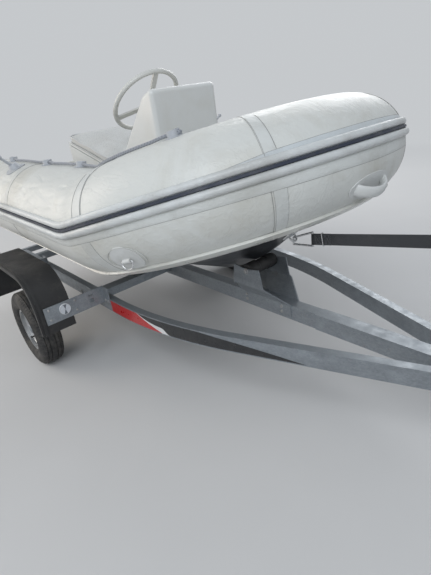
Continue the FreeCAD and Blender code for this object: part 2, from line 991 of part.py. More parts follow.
pad_z = S.motor_well_top - S.motor_pad_height - S.motor_pad_drop
aft_pad = box("aft_motor_pad", S.transom_station - S.motor_pad_thickness / 2, 0, pad_z,
              S.motor_pad_thickness, S.motor_pad_width, S.motor_pad_height)
fore_pad = box("fore_motor_pad",
               S.transom_station + S.transom_thickness + S.motor_pad_thickness / 2, 0, pad_z,
               S.motor_pad_thickness, S.motor_pad_width, S.motor_pad_height)
together("motor_pads", aft_pad, fore_pad)


# Console: a moulded housing with a sloping helm face.

helm_face_run = S.console_brow_station - S.console_rear_station
console_rear_top = S.console_brow_top - helm_face_run * tangent(S.helm_tilt)


def make_console():
    holder = body("console_body")
    profile = outline(sketch(holder, "side"), (
        (S.console_foot_station, S.deck_top),
        (S.console_front_station, S.deck_top),
        (S.console_front_station, S.console_front_top),
        (S.console_brow_station, S.console_brow_top),
        (S.console_rear_station, console_rear_top),
    ))
    base = pad(holder, profile, S.console_half_width * 2)
    deck_level = value_of(S.deck_top)

    def upper(edge):
        return edge.BoundBox.ZMax > deck_level + 1

    fillet(holder, base, S.console_edge_radius, upper)
    return holder


node("console", make_console())

# Helm: a boss and shaft square to the sloping face, and the wheel that turns on the shaft.
helm_foot_x = S.console_rear_station + S.helm_along * cosine(S.helm_tilt)
helm_foot_z = console_rear_top + S.helm_along * sine(S.helm_tilt)
hub_start = S.helm_standoff - S.helm_dish
hub_bore_depth = S.helm_hub_height - S.helm_hub_wall
shaft_top = hub_start + hub_bore_depth - S.skin_gap


def tilted(thing):
    """Lean a piece built along Z so that it stands square to the helm face."""
    return turn(thing, Y, -S.helm_tilt)


boss_disc = cylinder("helm_disc", 0, 0, S.helm_disc_height / 2, S.helm_boss_radius + S.helm_disc_border,
                     S.helm_disc_height)
boss = doc.addObject("Part::Cone", "helm_cone")
bind(boss, "Radius1", S.helm_boss_radius)
bind(boss, "Radius2", S.helm_boss_top)
bind(boss, "Height", S.helm_boss_height)
place(boss, 0, 0, S.helm_disc_height)
shaft = cylinder("helm_shaft", 0, 0, shaft_top / 2, S.helm_shaft_radius, shaft_top)
node("helm_boss", tilted(fused("helm_boss_fuse", boss_disc, boss, shaft)), helm_foot_x, 0, helm_foot_z)


def make_spokes():
    """Three flat spokes from the hub out to the rim, one upright and two to the sides."""
    spokes = []
    start_radius = S.helm_hub_radius / 2
    length = S.helm_rim_radius - start_radius
    start_height = hub_start + (S.helm_hub_height - S.helm_spoke_thickness) / 2
    rise = S.helm_dish - S.helm_hub_height / 2
    slope = math.degrees(math.atan2(value_of(rise), value_of(length)))
    for index, bearing in enumerate((0, 120, 240)):
        spoke = box("helm_spoke_%d" % index, length / 2, 0, 0,
                    length, S.helm_spoke_width, S.helm_spoke_thickness)
        for path in ("x", "y", "z"):
            spoke.setExpression("Placement.Base." + path, None)
        around = FreeCAD.Rotation(Z, bearing)
        corner = around.multVec(vector(start_radius, -S.helm_spoke_width / 2, start_height))
        spoke.Placement = FreeCAD.Placement(corner, around * FreeCAD.Rotation(Y, -slope))
        spokes.append(spoke)
    return spokes


rim = doc.addObject("Part::Torus", "helm_rim")
bind(rim, "Radius1", S.helm_rim_radius)
bind(rim, "Radius2", S.helm_rim_thickness)
place(rim, 0, 0, S.helm_standoff)
hub = cylinder("helm_hub", 0, 0, hub_start + S.helm_hub_height / 2, S.helm_hub_radius, S.helm_hub_height)
wheel_blank = fused("helm_wheel_blank", rim, hub, *make_spokes())
hub_bore = cylinder("helm_hub_bore", 0, 0, hub_start + hub_bore_depth / 2,
                    S.helm_shaft_radius + S.running_gap, hub_bore_depth)
node("steering_wheel", tilted(cut("helm_wheel_cut", wheel_blank, hub_bore)), helm_foot_x, 0, helm_foot_z)


# Seat: an open locker, a hinged lid and its cushion, all falling towards the bow.
seat_front = S.seat_rear_station + S.seat_length


def seat_line(station, above):
    """Height at a station of a line that lies above the locker's sloping rim."""
    return S.seat_rear_top + above - (station - S.seat_rear_station) * tangent(S.seat_slope)


def make_seat_box():
    holder = body("seat_box_body")
    shell = outline(sketch(holder, "side"), (
        (S.seat_rear_station, S.deck_top),
        (seat_front, S.deck_top),
        (seat_front, seat_line(seat_front, 0)),
        (S.seat_rear_station, S.seat_rear_top),
    ))
    pad(holder, shell, S.seat_half_width * 2)
    rear = S.seat_rear_station + S.seat_wall
    front = seat_front - S.seat_wall
    hollow = outline(sketch(holder, "side"), (
        (rear, S.deck_top + S.seat_wall),
        (front, S.deck_top + S.seat_wall),
        (front, seat_line(front, S.seat_wall)),
        (rear, seat_line(rear, S.seat_wall)),
    ))
    pocket(holder, hollow, (S.seat_half_width - S.seat_wall) * 2)
    return holder


node("seat_box", make_seat_box())


def sloping_slab(name, rear, front, under, thickness, half_width):
    """A slab that lies along the seat's slope."""
    holder = body(name)
    profile = outline(sketch(holder, "side"), (
        (rear, seat_line(rear, under)),
        (front, seat_line(front, under)),
        (front, seat_line(front, under + thickness)),
        (rear, seat_line(rear, under + thickness)),
    ))
    return holder, pad(holder, profile, half_width * 2)


lid, _ = sloping_slab("seat_lid_body", S.seat_rear_station, seat_front, S.seat_lid_gap,
                      S.seat_lid_thickness, S.seat_half_width)

# Seat hinge: knuckles along the locker's front edge, in turn on the locker and on the lid, and their pin.
hinge_outer = S.seat_hinge_radius
hinge_x = seat_front + hinge_outer + S.seat_hinge_wall_gap
hinge_z = seat_line(seat_front, S.seat_lid_gap / 2)
KNUCKLES = 5
knuckle = S.seat_hinge_length / KNUCKLES


def hinge_leaf(name, first, low, high):
    """Every second knuckle with the leaf that joins it to a flat wall."""
    pieces = []
    for count in range(first, KNUCKLES, 2):
        y = knuckle * (count - KNUCKLES // 2)
        length = knuckle - S.seat_knuckle_gap
        barrel = cylinder("%s_knuckle_%d" % (name, count), hinge_x, y, hinge_z, hinge_outer, length, Y)
        reach = S.seat_hinge_leaf
        leaf = box("%s_leaf_%d" % (name, count), seat_front + reach / 2, y, hinge_z + low,
                   reach, length, high - low)
        pieces += [barrel, leaf]
    return pieces


lid_leaves = hinge_leaf("lid_hinge", 1, 0, S.lid_leaf_height)
lid_bore = cylinder("lid_hinge_bore", hinge_x, 0, hinge_z, S.seat_pin_radius + S.running_gap,
                    S.seat_hinge_length, Y)
node("seat_lid", cut("seat_lid_cut", fused("seat_lid_fuse", lid, *lid_leaves), lid_bore))
box_leaves = hinge_leaf("box_hinge", 0, -S.locker_leaf_height, 0)
hinge_pin = cylinder("seat_hinge_pin", hinge_x, 0, hinge_z, S.seat_pin_radius,
                     S.seat_hinge_length - S.seat_knuckle_gap, Y)
node("seat_hinge", fused("seat_hinge_fuse", hinge_pin, *box_leaves))
cushion, cushion_pad = sloping_slab(
    "seat_cushion_body", S.seat_rear_station - S.cushion_overhang, seat_front + S.cushion_overhang,
    S.seat_lid_gap + S.seat_lid_thickness, S.cushion_thickness, S.seat_half_width + S.cushion_overhang)


def cushion_edge(edge):
    middle = edge.CenterOfMass
    level = value_of(S.seat_lid_gap + S.seat_lid_thickness + S.cushion_thickness / 10)
    drop = (middle.x - S.seat_rear_station.value) * math.tan(math.radians(S.seat_slope.value))
    return middle.z > S.seat_rear_top.value - drop + level


fillet(cushion, cushion_pad, S.cushion_edge_radius, cushion_edge)
node("seat_cushion", cushion)


# Fittings on the collar's skin.


def skin_placement(distance, radius, angle):
    """A frame on the skin: Z outward, X along the collar towards the bow."""
    centre, heading, outboard, upward = collar_frame(distance)
    turned = math.radians(angle)
    normal = outboard * math.cos(turned) + upward * math.sin(turned)
    across = normal.cross(heading)
    rotation = FreeCAD.Rotation(heading, across, normal, "ZXY")
    return FreeCAD.Placement(centre + normal * radius, rotation)


patch_shell = swept_round(S.collar_radius.value + S.skin_gap.value + S.patch_thickness.value)
patch_shell = patch_shell.cut(collar_clearance)


def skin_patch(distance, angle, length, width):
    """An oval patch that follows the skin."""
    depth = S.collar_radius.value / 2
    seat = skin_placement(distance, S.collar_radius.value - depth / 2, angle)
    if length == width:
        prism = Part.makeCylinder(length / 2, depth)
    else:
        ring = Part.Ellipse(FreeCAD.Vector(0, 0, 0), length / 2, width / 2).toShape()
        prism = Part.Face(Part.Wire(ring)).extrude(Z * depth)
    prism.Placement = seat
    return patch_shell.common(prism)


def quarter_turn(centre, first, last, radius):
    """A quarter arc about a centre from one direction to another."""
    middle = (first + last).normalize() * radius
    return Part.Arc(centre + first * radius, centre + middle, centre + last * radius).toShape()


def both_sides(shape):
    return Part.makeCompound([shape, shape.mirror(FreeCAD.Vector(0, 0, 0), Y)])


def make_handle():
    """The bow's carry handle: an oval base across the nose and a broad, arched grip."""
    angle = S.handle_angle.value
    thin = S.handle_grip_thickness.value / 2
    base = skin_patch(COLLAR_LENGTH, angle, S.handle_length.value, S.handle_width.value)
    half = S.handle_length.value / 2 - S.handle_grip_inset.value
    ends = [FreeCAD.Vector(side * half, 0, -S.handle_root.value) for side in (-1, 1)]
    arch = Part.Arc(ends[0], FreeCAD.Vector(0, 0, S.handle_rise.value), ends[1]).toShape()
    outward = arch.tangentAt(arch.FirstParameter).cross(Y)
    broad = ends[0] + Y * S.handle_grip_half.value
    ring = Part.Wire(Part.Ellipse(broad, ends[0] + outward * thin, ends[0]).toShape())
    grip = Part.Wire([arch]).makePipe(Part.Face(ring))
    grip.Placement = skin_placement(COLLAR_LENGTH, S.collar_radius.value, angle)
    return base.fuse(grip.cut(collar_clearance))


shape_node("bow_handle", make_handle())


lift_distance = COLLAR_LENGTH - S.lift_bow_offset.value


def lift_seat():
    """The frame on the outer face of the lifting patch."""
    return skin_placement(lift_distance, S.collar_radius.value + S.patch_thickness.value, S.lift_angle.value)


def make_lug():
    """A lifting patch with the sleeve that holds its ring."""
    angle = S.lift_angle.value
    base = skin_patch(lift_distance, angle, S.lift_patch_width.value, S.lift_patch_width.value)
    length = S.lift_sleeve_length.value
    outer = S.ring_wire_radius.value + S.lift_sleeve_wall.value
    start = FreeCAD.Vector(-length / 2, 0, S.ring_wire_radius.value + S.lift_sleeve_rise.value)
    sleeve = Part.makeCylinder(outer, length, start, X)
    foot = Part.makeBox(length, outer * 2, start.z + outer, FreeCAD.Vector(-length / 2, -outer, -outer))
    bore = Part.makeCylinder(S.ring_wire_radius.value + S.skin_gap.value, length, start, X)
    lug = sleeve.fuse(foot).cut(bore)
    lug.Placement = lift_seat()
    return base.fuse(lug.cut(collar_clearance))


def make_ring():
    """The D ring, hanging plumb: a straight bar in the sleeve, two corners and a half-round bow."""
    wire = S.ring_wire_radius.value
    radius = S.ring_radius.value
    corner = wire * 2
    span = radius - corner
    route = Part.Wire([
        Part.makeLine(FreeCAD.Vector(-span, 0, 0), FreeCAD.Vector(span, 0, 0)),
        quarter_turn(FreeCAD.Vector(span, -corner, 0), Y, X, corner),
        Part.Arc(FreeCAD.Vector(radius, -corner, 0), FreeCAD.Vector(0, -corner - radius, 0),
                 FreeCAD.Vector(-radius, -corner, 0)).toShape(),
        quarter_turn(FreeCAD.Vector(-span, -corner, 0), X * -1, Y, corner),
    ])
    profile = Part.Wire(Part.Circle(FreeCAD.Vector(-span, 0, 0), X, wire).toShape())
    shape = route.makePipe(Part.Face(profile))
    plumb = FreeCAD.Rotation(X, S.lift_angle.value)
    in_sleeve = FreeCAD.Vector(0, 0, wire + S.lift_sleeve_rise.value)
    shape.Placement = lift_seat().multiply(FreeCAD.Placement(in_sleeve, plumb))
    return shape


shape_node("lifting_patches", both_sides(make_lug()))
shape_node("lifting_rings", both_sides(make_ring()))

# Line holders: distance along the collar and angle up the skin, from stern to bow.
HOLDERS = (
    (S.first_holder_offset.value, 92),
    (S.second_holder_offset.value, 92),
    (S.third_holder_offset.value, 98),
    (COLLAR_LENGTH - S.bow_holder_offset.value, 82),
)


def make_holder(distance, angle):
    """A round holder on its base, bored along the collar for the line."""
    base = skin_patch(distance, angle, S.holder_base.value, S.holder_base.value)
    root = S.holder_radius.value / 4
    boss = Part.makeCylinder(S.holder_radius.value, S.holder_height.value + root)
    bore_z = line_height() - S.collar_radius.value + root
    start = FreeCAD.Vector(-S.holder_radius.value * 2, 0, bore_z)
    bore = Part.makeCylinder(S.line_radius.value + S.line_gap.value, S.holder_radius.value * 4, start, X)
    boss = boss.cut(bore)
    boss.Placement = skin_placement(distance, S.collar_radius.value - root, angle)
    return base.fuse(boss.cut(collar_clearance))


def line_height():
    """Radius from the centreline at which the grab line runs through its holders."""
    return S.collar_radius.value + S.holder_height.value - S.holder_radius.value / 2


def line_points():
    """The grab line's route: straight through each holder, resting low between them."""
    points = []
    low = S.collar_radius.value + S.line_radius.value + S.line_rest.value
    lead = S.holder_radius.value + S.line_lead.value
    for (near, near_angle), (far, far_angle) in zip(HOLDERS, HOLDERS[1:]):
        holder = skin_placement(near, line_height(), near_angle)
        if not points:
            points.append(holder.multVec(X * -lead))
        points.append(holder.multVec(X * lead))
        span = far - near - lead * 2
        steps = max(2, round(span / (S.holder_base.value * 2)))
        for step in range(1, steps):
            share = step / steps
            angle = near_angle + (far_angle - near_angle) * share
            points.append(collar_point(near + lead + span * share, low, angle))
        holder = skin_placement(far, line_height(), far_angle)
        points.append(holder.multVec(X * -lead))
    points.append(holder.multVec(X * lead))
    return points


ARC_SHARE = 0.45


def rounded_route(points):
    """Straight runs joined by tangent arcs that stay clear of the holders' bores."""
    edges = []
    start = points[0]
    for before, corner, after in zip(points, points[1:], points[2:]):
        into = (corner - before).normalize()
        out = (after - corner).normalize()
        turned = into.getAngle(out)
        shortest = min((corner - before).Length, (after - corner).Length)
        reach = min(S.line_lead.value * ARC_SHARE * 2, shortest * ARC_SHARE)
        begin, end = corner - into * reach, corner + out * reach
        radius = reach / math.tan(turned / 2)
        inward = (out - into).normalize()
        centre = corner + inward * (radius / math.cos(turned / 2))
        edges.append(Part.LineSegment(start, begin).toShape())
        edges.append(Part.Arc(begin, centre - inward * radius, end).toShape())
        start = end
    edges.append(Part.LineSegment(start, points[-1]).toShape())
    return Part.Wire(edges)


def make_line():
    route = rounded_route(line_points())
    first = route.OrderedEdges[0]
    start = first.valueAt(first.FirstParameter)
    heading = first.tangentAt(first.FirstParameter)
    ring = Part.Wire(Part.Circle(start, heading, S.line_radius.value).toShape())
    return route.makePipe(Part.Face(ring))


holders = [make_holder(distance, angle) for distance, angle in HOLDERS]
shape_node("line_holders", both_sides(Part.makeCompound(holders)))
shape_node("grab_lines", both_sides(make_line()))


# The rowlock pin's direction on the skin: forward, inboard and outward shares.
ROWLOCK_LEAN = (0.3, -0.5, 1)


def make_rowlock():
    """A round rowlock base with its leaning pin and ball end."""
    distance, angle = S.rowlock_stern_offset.value, S.rowlock_angle.value
    width = S.rowlock_base.value
    base = skin_patch(distance, angle, width, width)
    boss = Part.makeCone(S.rowlock_boss_radius.value, S.rowlock_boss_top.value, S.rowlock_boss_height.value)
    lean = FreeCAD.Vector(*ROWLOCK_LEAN).normalize()
    foot = FreeCAD.Vector(0, 0, S.rowlock_boss_height.value / 2)
    pin = Part.makeCylinder(S.rowlock_pin_radius.value, S.rowlock_pin_length.value, foot, lean)
    ball = Part.makeSphere(S.rowlock_ball_radius.value, foot + lean * S.rowlock_pin_length.value)
    stem = boss.fuse([pin, ball])
    root = S.collar_radius.value - S.rowlock_boss_height.value / 4
    stem.Placement = skin_placement(distance, root, angle)
    return base.fuse(stem.cut(collar_clearance))


shape_node("rowlocks", both_sides(make_rowlock()))


# Bow eye: a bolt bent to a U that stands level out of the stem, and the strap's hook through it.


def stem_point(height):
    """Station of the stem at a height, and the direction square to it."""
    low, high = S.keel_rise_station.value, stem_tip().x
    for _ in range(50):
        middle = (low + high) / 2
        if stem_height(middle) < height:
            low = middle
        else:
            high = middle
    slope = (stem_height(low + 1) - stem_height(low - 1)) / 2
    return low, FreeCAD.Vector(slope, 0, -1).normalize()


def make_bow_eye():
    """The eye with its plate on the stem, and the middle of its crown."""
    station, outward = stem_point(S.bow_eye_height.value)
    root = FreeCAD.Vector(station, 0, S.bow_eye_height.value)
    half = S.bow_eye_half.value
    wire = S.bow_eye_wire_radius.value
    reach = S.bow_eye_reach.value
    sunk = S.keel_half_width.value * 2
    shapes = []
    for side in (-1, 1):
        foot = root + Y * (side * half) - outward * sunk
        shapes.append(Part.makeCylinder(wire, reach + sunk, foot, outward))
    crown = root + outward * reach
    ends = [crown + Y * (side * half) for side in (-1, 1)]
    arch = Part.Arc(ends[0], crown + outward * half, ends[1]).toShape()
    ring = Part.Wire(Part.Circle(ends[0], outward, wire).toShape())
    shapes.append(Part.Wire([arch]).makePipe(Part.Face(ring)))
    length = S.bow_eye_plate_length.value
    border = half + S.bow_eye_plate_border.value
    plate = Part.makeBox(length, border * 2, S.bow_eye_plate_thickness.value + sunk)
    plate.translate(FreeCAD.Vector(-length / 2, -border, -sunk))
    seat = FreeCAD.Placement(root, FreeCAD.Rotation(Y.cross(outward), Y, outward, "ZYX"))
    plate.Placement = seat.multiply(plate.Placement)
    eye = shapes[0].fuse(shapes[1:] + [plate])
    return eye.cut(hull_blank), crown + outward * half


bow_eye_shape, bow_eye_crown = make_bow_eye()
shape_node("bow_eye", max(bow_eye_shape.Solids, key=lambda solid: solid.Volume))


def rod(radius, points):
    """A round bar through a list of points with ball corners."""
    pieces = []
    for start, end in zip(points, points[1:]):
        pieces.append(Part.makeCylinder(radius, (end - start).Length, start, end - start))
    pieces += [Part.makeSphere(radius, point) for point in points]
    return pieces[0].fuse(pieces[1:])


strap_end = bow_eye_crown + vector(S.hook_reach, 0, S.hook_rise)


def make_hook():
    """A flat hook of bent bar: its nose goes through the bow eye, its bar carries the strap."""
    wire = S.hook_wire_radius.value
    half = Z * (S.strap_width.value / 2 + wire + S.hook_side_gap.value)
    throat = Z * S.hook_throat.value
    nose = bow_eye_crown - X * (wire + S.bow_eye_wire_radius.value + S.skin_gap.value)
    top, bottom = strap_end + half, strap_end - half
    return rod(wire, [top, nose + throat, nose - throat, bottom, top])


shape_node("strap_hook", make_hook())


# Winch strap: on edge at the hook, turning flat before it meets the drum's coil.

# Shares of the strap's run between which it twists, and the steps of the twist.
STRAP_TWIST = (0.68, 0.94)
TWIST_STEPS = 4


def strap_tangent():
    """The direction and length of the strap from the hook to the top of the coil."""
    span = vector(S.winch_station, 0, S.winch_height) - strap_end
    reach = S.winch_coil_radius.value + S.strap_thickness.value
    bearing = math.atan2(span.z, span.x) + math.asin(reach / span.Length)
    length = math.sqrt(span.Length ** 2 - reach ** 2)
    return FreeCAD.Vector(math.cos(bearing), 0, math.sin(bearing)), length


def strap_section(centre, heading, roll):
    """The strap's cross-section: on edge at no roll, flat at 90 degrees."""
    upward = heading.cross(Y) * -1
    width_line = upward * math.cos(math.radians(roll)) + Y * math.sin(math.radians(roll))
    thin_line = width_line.cross(heading)
    half_width = width_line * (S.strap_width.value / 2)
    half_thin = thin_line * (S.strap_thickness.value / 2)
    corners = [centre + half_width + half_thin, centre + half_width - half_thin,
               centre - half_width - half_thin, centre - half_width + half_thin]
    return Part.makePolygon(corners + corners[:1])


def make_strap():
    """The strap: a sewn loop round the hook's bar, a run on edge, a quarter twist, then flat."""
    heading, length = strap_tangent()
    upward = heading.cross(Y) * -1
    width, thickness = S.strap_width.value, S.strap_thickness.value
    inner = S.hook_wire_radius.value + S.skin_gap.value
    low = strap_end - Z * (width / 2)
    sleeve = Part.makeCylinder(inner + thickness, width, low, Z)
    bore = Part.makeCylinder(inner, width * 2, low - Z * (width / 2), Z)
    rolls = [(inner + thickness / 2, 0)]
    first, last = STRAP_TWIST
    for step in range(TWIST_STEPS + 1):
        share = step / TWIST_STEPS
        rolls.append((length * (first + (last - first) * share), 90 * share))
    rolls.append((length, 90))
    wires = []
    for run, roll in rolls:
        drop = upward * (thickness / 2 * roll / 90)
        wires.append(strap_section(strap_end + heading * run - drop, heading, roll))
    pieces = [Part.makeLoft([near, far], True, True) for near, far in zip(wires, wires[1:])]
    seam = Part.makeBox(S.strap_seam_length.value, thickness * 3, width)
    seam.translate(FreeCAD.Vector(inner, -thickness * 1.5, -width / 2))
    seam.Placement = FreeCAD.Placement(strap_end, FreeCAD.Rotation(X, heading)).multiply(seam.Placement)
    band = pieces[0].fuse(pieces[1:] + [seam, sleeve])
    return band.cut(bore)


shape_node("winch_strap", make_strap())


# Trailer frame: a keel beam on the middle plane, two rails that close on the drawbar, cross members.
rail_shift = S.rail_width * tangent(S.rail_angle / 2)


def upright_at(x, y):
    """A test for the upright edge that stands at a place in plan."""
    place_x, place_y = value_of(x), value_of(y)

    def test(edge):
        middle = edge.CenterOfMass
        return math.hypot(middle.x - place_x, middle.y - place_y) < 1 and along(Z)(edge)

    return test


def make_rail():
    """The starboard rail: straight aft, then bent in to the side of the drawbar."""
    holder = body("side_rail_body")
    side = S.drawbar_width / 2
    outer_end = S.rail_bend_station + (S.rail_outer - side) / tangent(S.rail_angle)
    inner_end = S.rail_bend_station - rail_shift + (S.rail_inner - side) / tangent(S.rail_angle)
    profile = outline(sketch(holder, "plan", S.frame_bottom), (
        (S.frame_rear_station, -S.rail_outer),
        (S.rail_bend_station, -S.rail_outer),
        (outer_end, -side),
        (inner_end, -side),
        (S.rail_bend_station - rail_shift, -S.rail_inner),
        (S.frame_rear_station, -S.rail_inner),
    ))
    blank = pad(holder, profile, S.rail_depth, symmetric=False)
    outer_bend = upright_at(S.rail_bend_station, -S.rail_outer)
    inner_bend = upright_at(S.rail_bend_station - rail_shift, -S.rail_inner)
    bent = fillet(holder, blank, S.rail_bend_radius + S.rail_width, outer_bend)
    fillet(holder, bent, S.rail_bend_radius, inner_bend)
    return holder


pair("side_rails", make_rail())

keel_length = S.drawbar_station - S.frame_rear_station
keel_beam = box("keel_beam_box", (S.drawbar_station + S.frame_rear_station) / 2, 0, S.frame_bottom,
                keel_length, S.keel_beam_width, S.rail_depth)
node("keel_beam", keel_beam, S.frame_rear_station, -S.keel_beam_width / 2, S.frame_bottom)
drawbar_length = S.coupling_station - S.drawbar_station
drawbar = box("drawbar_box", (S.drawbar_station + S.coupling_station) / 2, 0, S.frame_bottom,
              drawbar_length, S.drawbar_width, S.rail_depth)
node("drawbar", drawbar, S.drawbar_station, -S.drawbar_width / 2, S.frame_bottom)

cross_length = S.rail_inner - S.keel_beam_width / 2
cross_middle = (S.rail_inner + S.keel_beam_width / 2) / 2
crosses = []
for name, station in (("front", S.front_cross_station), ("rear", S.rear_cross_station)):
    crosses.append(box(name + "_cross", station, -cross_middle, S.frame_top - S.cross_width,
                       S.cross_width, cross_length, S.cross_width))
together("cross_members", *crosses, *[mirrored(item) for item in crosses])

# Axle: a square tube under the rails with trailing arms that carry the stub axles.
arm_inner = S.rail_outer + S.arm_offset
axle_tube_z = S.frame_bottom - S.axle_tube
axle_tube = Part.makeBox(S.axle_tube.value, value_of(arm_inner) * 2, S.axle_tube.value,
                         vector(S.axle_tube_lead - S.axle_tube / 2, -arm_inner, axle_tube_z))


def make_arm():
    """A trailing arm, its stub axle and the shoulder that the hub runs up to."""
    high = vector(S.axle_tube_lead, -arm_inner, axle_tube_z + S.axle_tube / 2)
    low = vector(0, -arm_inner, S.axle_height)
    line = low - high
    square = FreeCAD.Vector(-line.z, 0, line.x).normalize()
    stub = S.stub_radius.value
    big, small = S.arm_boss_radius.value, stub + S.arm_eye_wall.value
    corners = [high + square * big, high - square * big, low - square * small, low + square * small]
    thickness = S.arm_thickness.value
    away = Y * -1
    web = Part.Face(Part.makePolygon(corners + corners[:1])).extrude(away * thickness)
    hub_face = value_of(S.wheel_half_track - S.hub_reach - arm_inner)
    tip = value_of(S.wheel_half_track + S.stub_reach - arm_inner)
    return web.fuse([
        Part.makeCylinder(big, thickness, high, away),
        Part.makeCylinder(small, thickness, low, away),
        Part.makeCylinder(small - S.arm_collar_step.value, hub_face - S.hub_side_gap.value, low, away),
        Part.makeCylinder(stub, tip, low, away),
    ])


shape_node("axle_beam", axle_tube.fuse(list(both_sides(make_arm()).Solids)))


# Road wheels: a pressed steel rim with its hub, and the tyre.
RIM_HOLES = 10

def make_rim(name):
    """The rim and hub about the Y axis; the outboard side faces the negative end."""
    holder = body(name + "_body")
    seat = S.rim_radius
    half = S.rim_width / 2
    wall = S.rim_wall
    flange = seat + S.rim_flange
    inside = seat - wall
    bore = S.stub_radius + S.running_gap
    hub = S.hub_radius
    disc = -half + S.rim_disc_offset
    cap = -S.stub_reach - S.hub_side_gap
    profile = outline(sketch(holder, "plan"), (
        (flange, half),
        (flange, half - wall),
        (seat, half - wall),
        (seat, half - wall * 3),
        (seat - wall * 3, half - wall * 5),
        (seat - wall * 3, -half + wall * 7),
        (seat, -half + wall * 4),
        (seat, -half + wall),
        (flange, -half + wall),
        (flange, -half),
        (inside, -half),
        (inside, -half + wall * 4),
        (seat - wall * 4, disc + wall * 2),
        (seat - wall * 6, disc),
        (seat - wall * 11, disc + wall * 2),
        (hub + wall * 4, disc + wall * 4),
        (hub, disc + wall * 4),
        (hub, cap - wall),
        (0, cap - wall),
        (0, cap),
        (bore, cap),
        (bore, S.hub_reach),
        (hub, S.hub_reach),
        (hub, disc + wall * 5),
        (hub + wall * 4, disc + wall * 5),
        (seat - wall * 11, disc + wall * 3),
        (seat - wall * 6, disc + wall),
        (seat - wall * 4, disc + wall * 3),
        (seat - wall * 4, half - wall * 5),
        (inside, half - wall * 3),
        (inside, half),
    ))
    revolve(holder, profile)
    holes = []
    for count in range(RIM_HOLES):
        bearing = 2 * math.pi * count / RIM_HOLES
        x = S.rim_hole_circle * math.cos(bearing)
        z = S.rim_hole_circle * math.sin(bearing)
        holes.append(cylinder("%s_hole_%d" % (name, count), x, disc + wall * 2, z,
                              S.rim_hole_radius, wall * 6, Y))
    return cut(name + "_cut", holder, fused(name + "_holes", *holes))


def make_tyre(name):
    """The tyre as a closed ring on the rim's seats."""
    holder = body(name + "_body")
    seat = S.rim_radius + S.skin_gap
    bead = S.rim_width / 2 - S.rim_wall - S.skin_gap
    crown = S.axle_height
    wide = S.tyre_width / 2
    over_flange = seat + S.rim_flange + S.skin_gap * 2
    half_points = (
        (seat, bead),
        (over_flange, bead),
        (over_flange, S.rim_width / 2 + S.skin_gap),
        (over_flange + S.tyre_cheek_rise, wide - S.tyre_cheek_inset),
        (seat + S.tyre_belly_rise, wide),
        (crown - S.tyre_shoulder_drop, wide - S.tyre_cheek_inset),
        (crown - S.tyre_tread_drop, wide - S.tyre_tread_inset),
        (crown, wide - S.tyre_crown_inset),
    )
    port = [(radius, -offset) for radius, offset in reversed(half_points)]
    revolve(holder, outline(sketch(holder, "plan"), half_points + tuple(port)))
    return holder


for side_name, side in (("starboard", -1), ("port", 1)):
    for kind, maker in (("rim", make_rim), ("tyre", make_tyre)):
        label = "%s_%s" % (kind, side_name)
        wheel_part = maker(label)
        if side > 0:
            turn(wheel_part, Z, 180)
        node(label, wheel_part, 0, S.wheel_half_track * side, S.axle_height)


# Mudguards: rounded shells over the tyres with a lip along each side, on brackets from the rails.
guard_front = S.axle_height + S.guard_front_gap
guard_rear = -(S.axle_height + S.guard_rear_gap)


def rounded_arch(name, inset, low, width, middle):
    """A block with the guard's side outline, drawn in by an inset and rounded at its top corners."""
    holder = body(name)
    top = S.guard_top - inset
    profile = outline(sketch(holder, "side", middle), (
        (guard_rear + inset, low),
        (guard_front - inset, low),
        (guard_front - inset, top),
        (guard_rear + inset, top),
    ))
    block = pad(holder, profile, width)
    level = value_of(top) - 1
    fillet(holder, block, S.guard_corner - inset,
           lambda edge: along(Y)(edge) and edge.CenterOfMass.z > level)
    return holder


def make_guard():
    """The shell: an arch with a bead along its outboard edge, hollowed and opened at both sides."""
    middle, width = S.guard_middle, S.guard_width
    outer = rounded_arch("guard_outer", 0, S.guard_low, width, middle)
    bead_middle = middle + width / 2 - S.guard_bead_inset
    bead = rounded_arch("guard_bead", -S.guard_bead_height, S.guard_low, S.guard_bead_width, bead_middle)
    below = S.guard_low - S.guard_lip
    inside = width - S.guard_thickness * 2
    hollow = rounded_arch("guard_hollow", S.guard_thickness, below, inside, middle)
    sides = rounded_arch("guard_sides", S.guard_lip, below, width * 2, middle)
    blank = fused("guard_blank", outer, bead)
    return cut("guard_opened", cut("guard_shell", blank, hollow), sides)


pair("mudguards", make_guard())

bracket_end = S.guard_middle + S.guard_width / 2 - S.bracket_border
bracket_reach = bracket_end - S.rail_outer
bracket_middle = (S.rail_outer + bracket_end) / 2
bracket_z = S.frame_top - S.bracket_drop
bracket_hole_y = -(S.rail_outer + S.bracket_hole_inset)
brackets = []
for name, face, away in (("front", guard_front, 1), ("rear", guard_rear, -1)):
    arm = box(name + "_bracket_arm", face + S.bracket_thickness / 2 * away, -bracket_middle, bracket_z,
              S.bracket_thickness, bracket_reach, S.bracket_height)
    foot = box(name + "_bracket_foot", face + S.bracket_foot / 2 * away,
               -(S.rail_outer + S.bracket_thickness / 2), bracket_z,
               S.bracket_foot, S.bracket_thickness, S.bracket_height)
    hole = box(name + "_bracket_hole", face + S.bracket_thickness / 2 * away, bracket_hole_y,
               bracket_z + S.bracket_hole_rise, S.bracket_thickness * 4, S.bracket_hole_side,
               S.bracket_hole_side)
    slot = box(name + "_bracket_slot", face + S.bracket_thickness / 2 * away, bracket_hole_y,
               bracket_z + S.bracket_slot_rise, S.bracket_thickness * 4, S.bracket_hole_side,
               S.bracket_slot_height)
    blank = fused(name + "_bracket_blank", arm, foot)
    brackets.append(cut(name + "_bracket", blank, fused(name + "_bracket_holes", hole, slot)))
together("guard_brackets", *brackets, *[mirrored(item) for item in brackets])

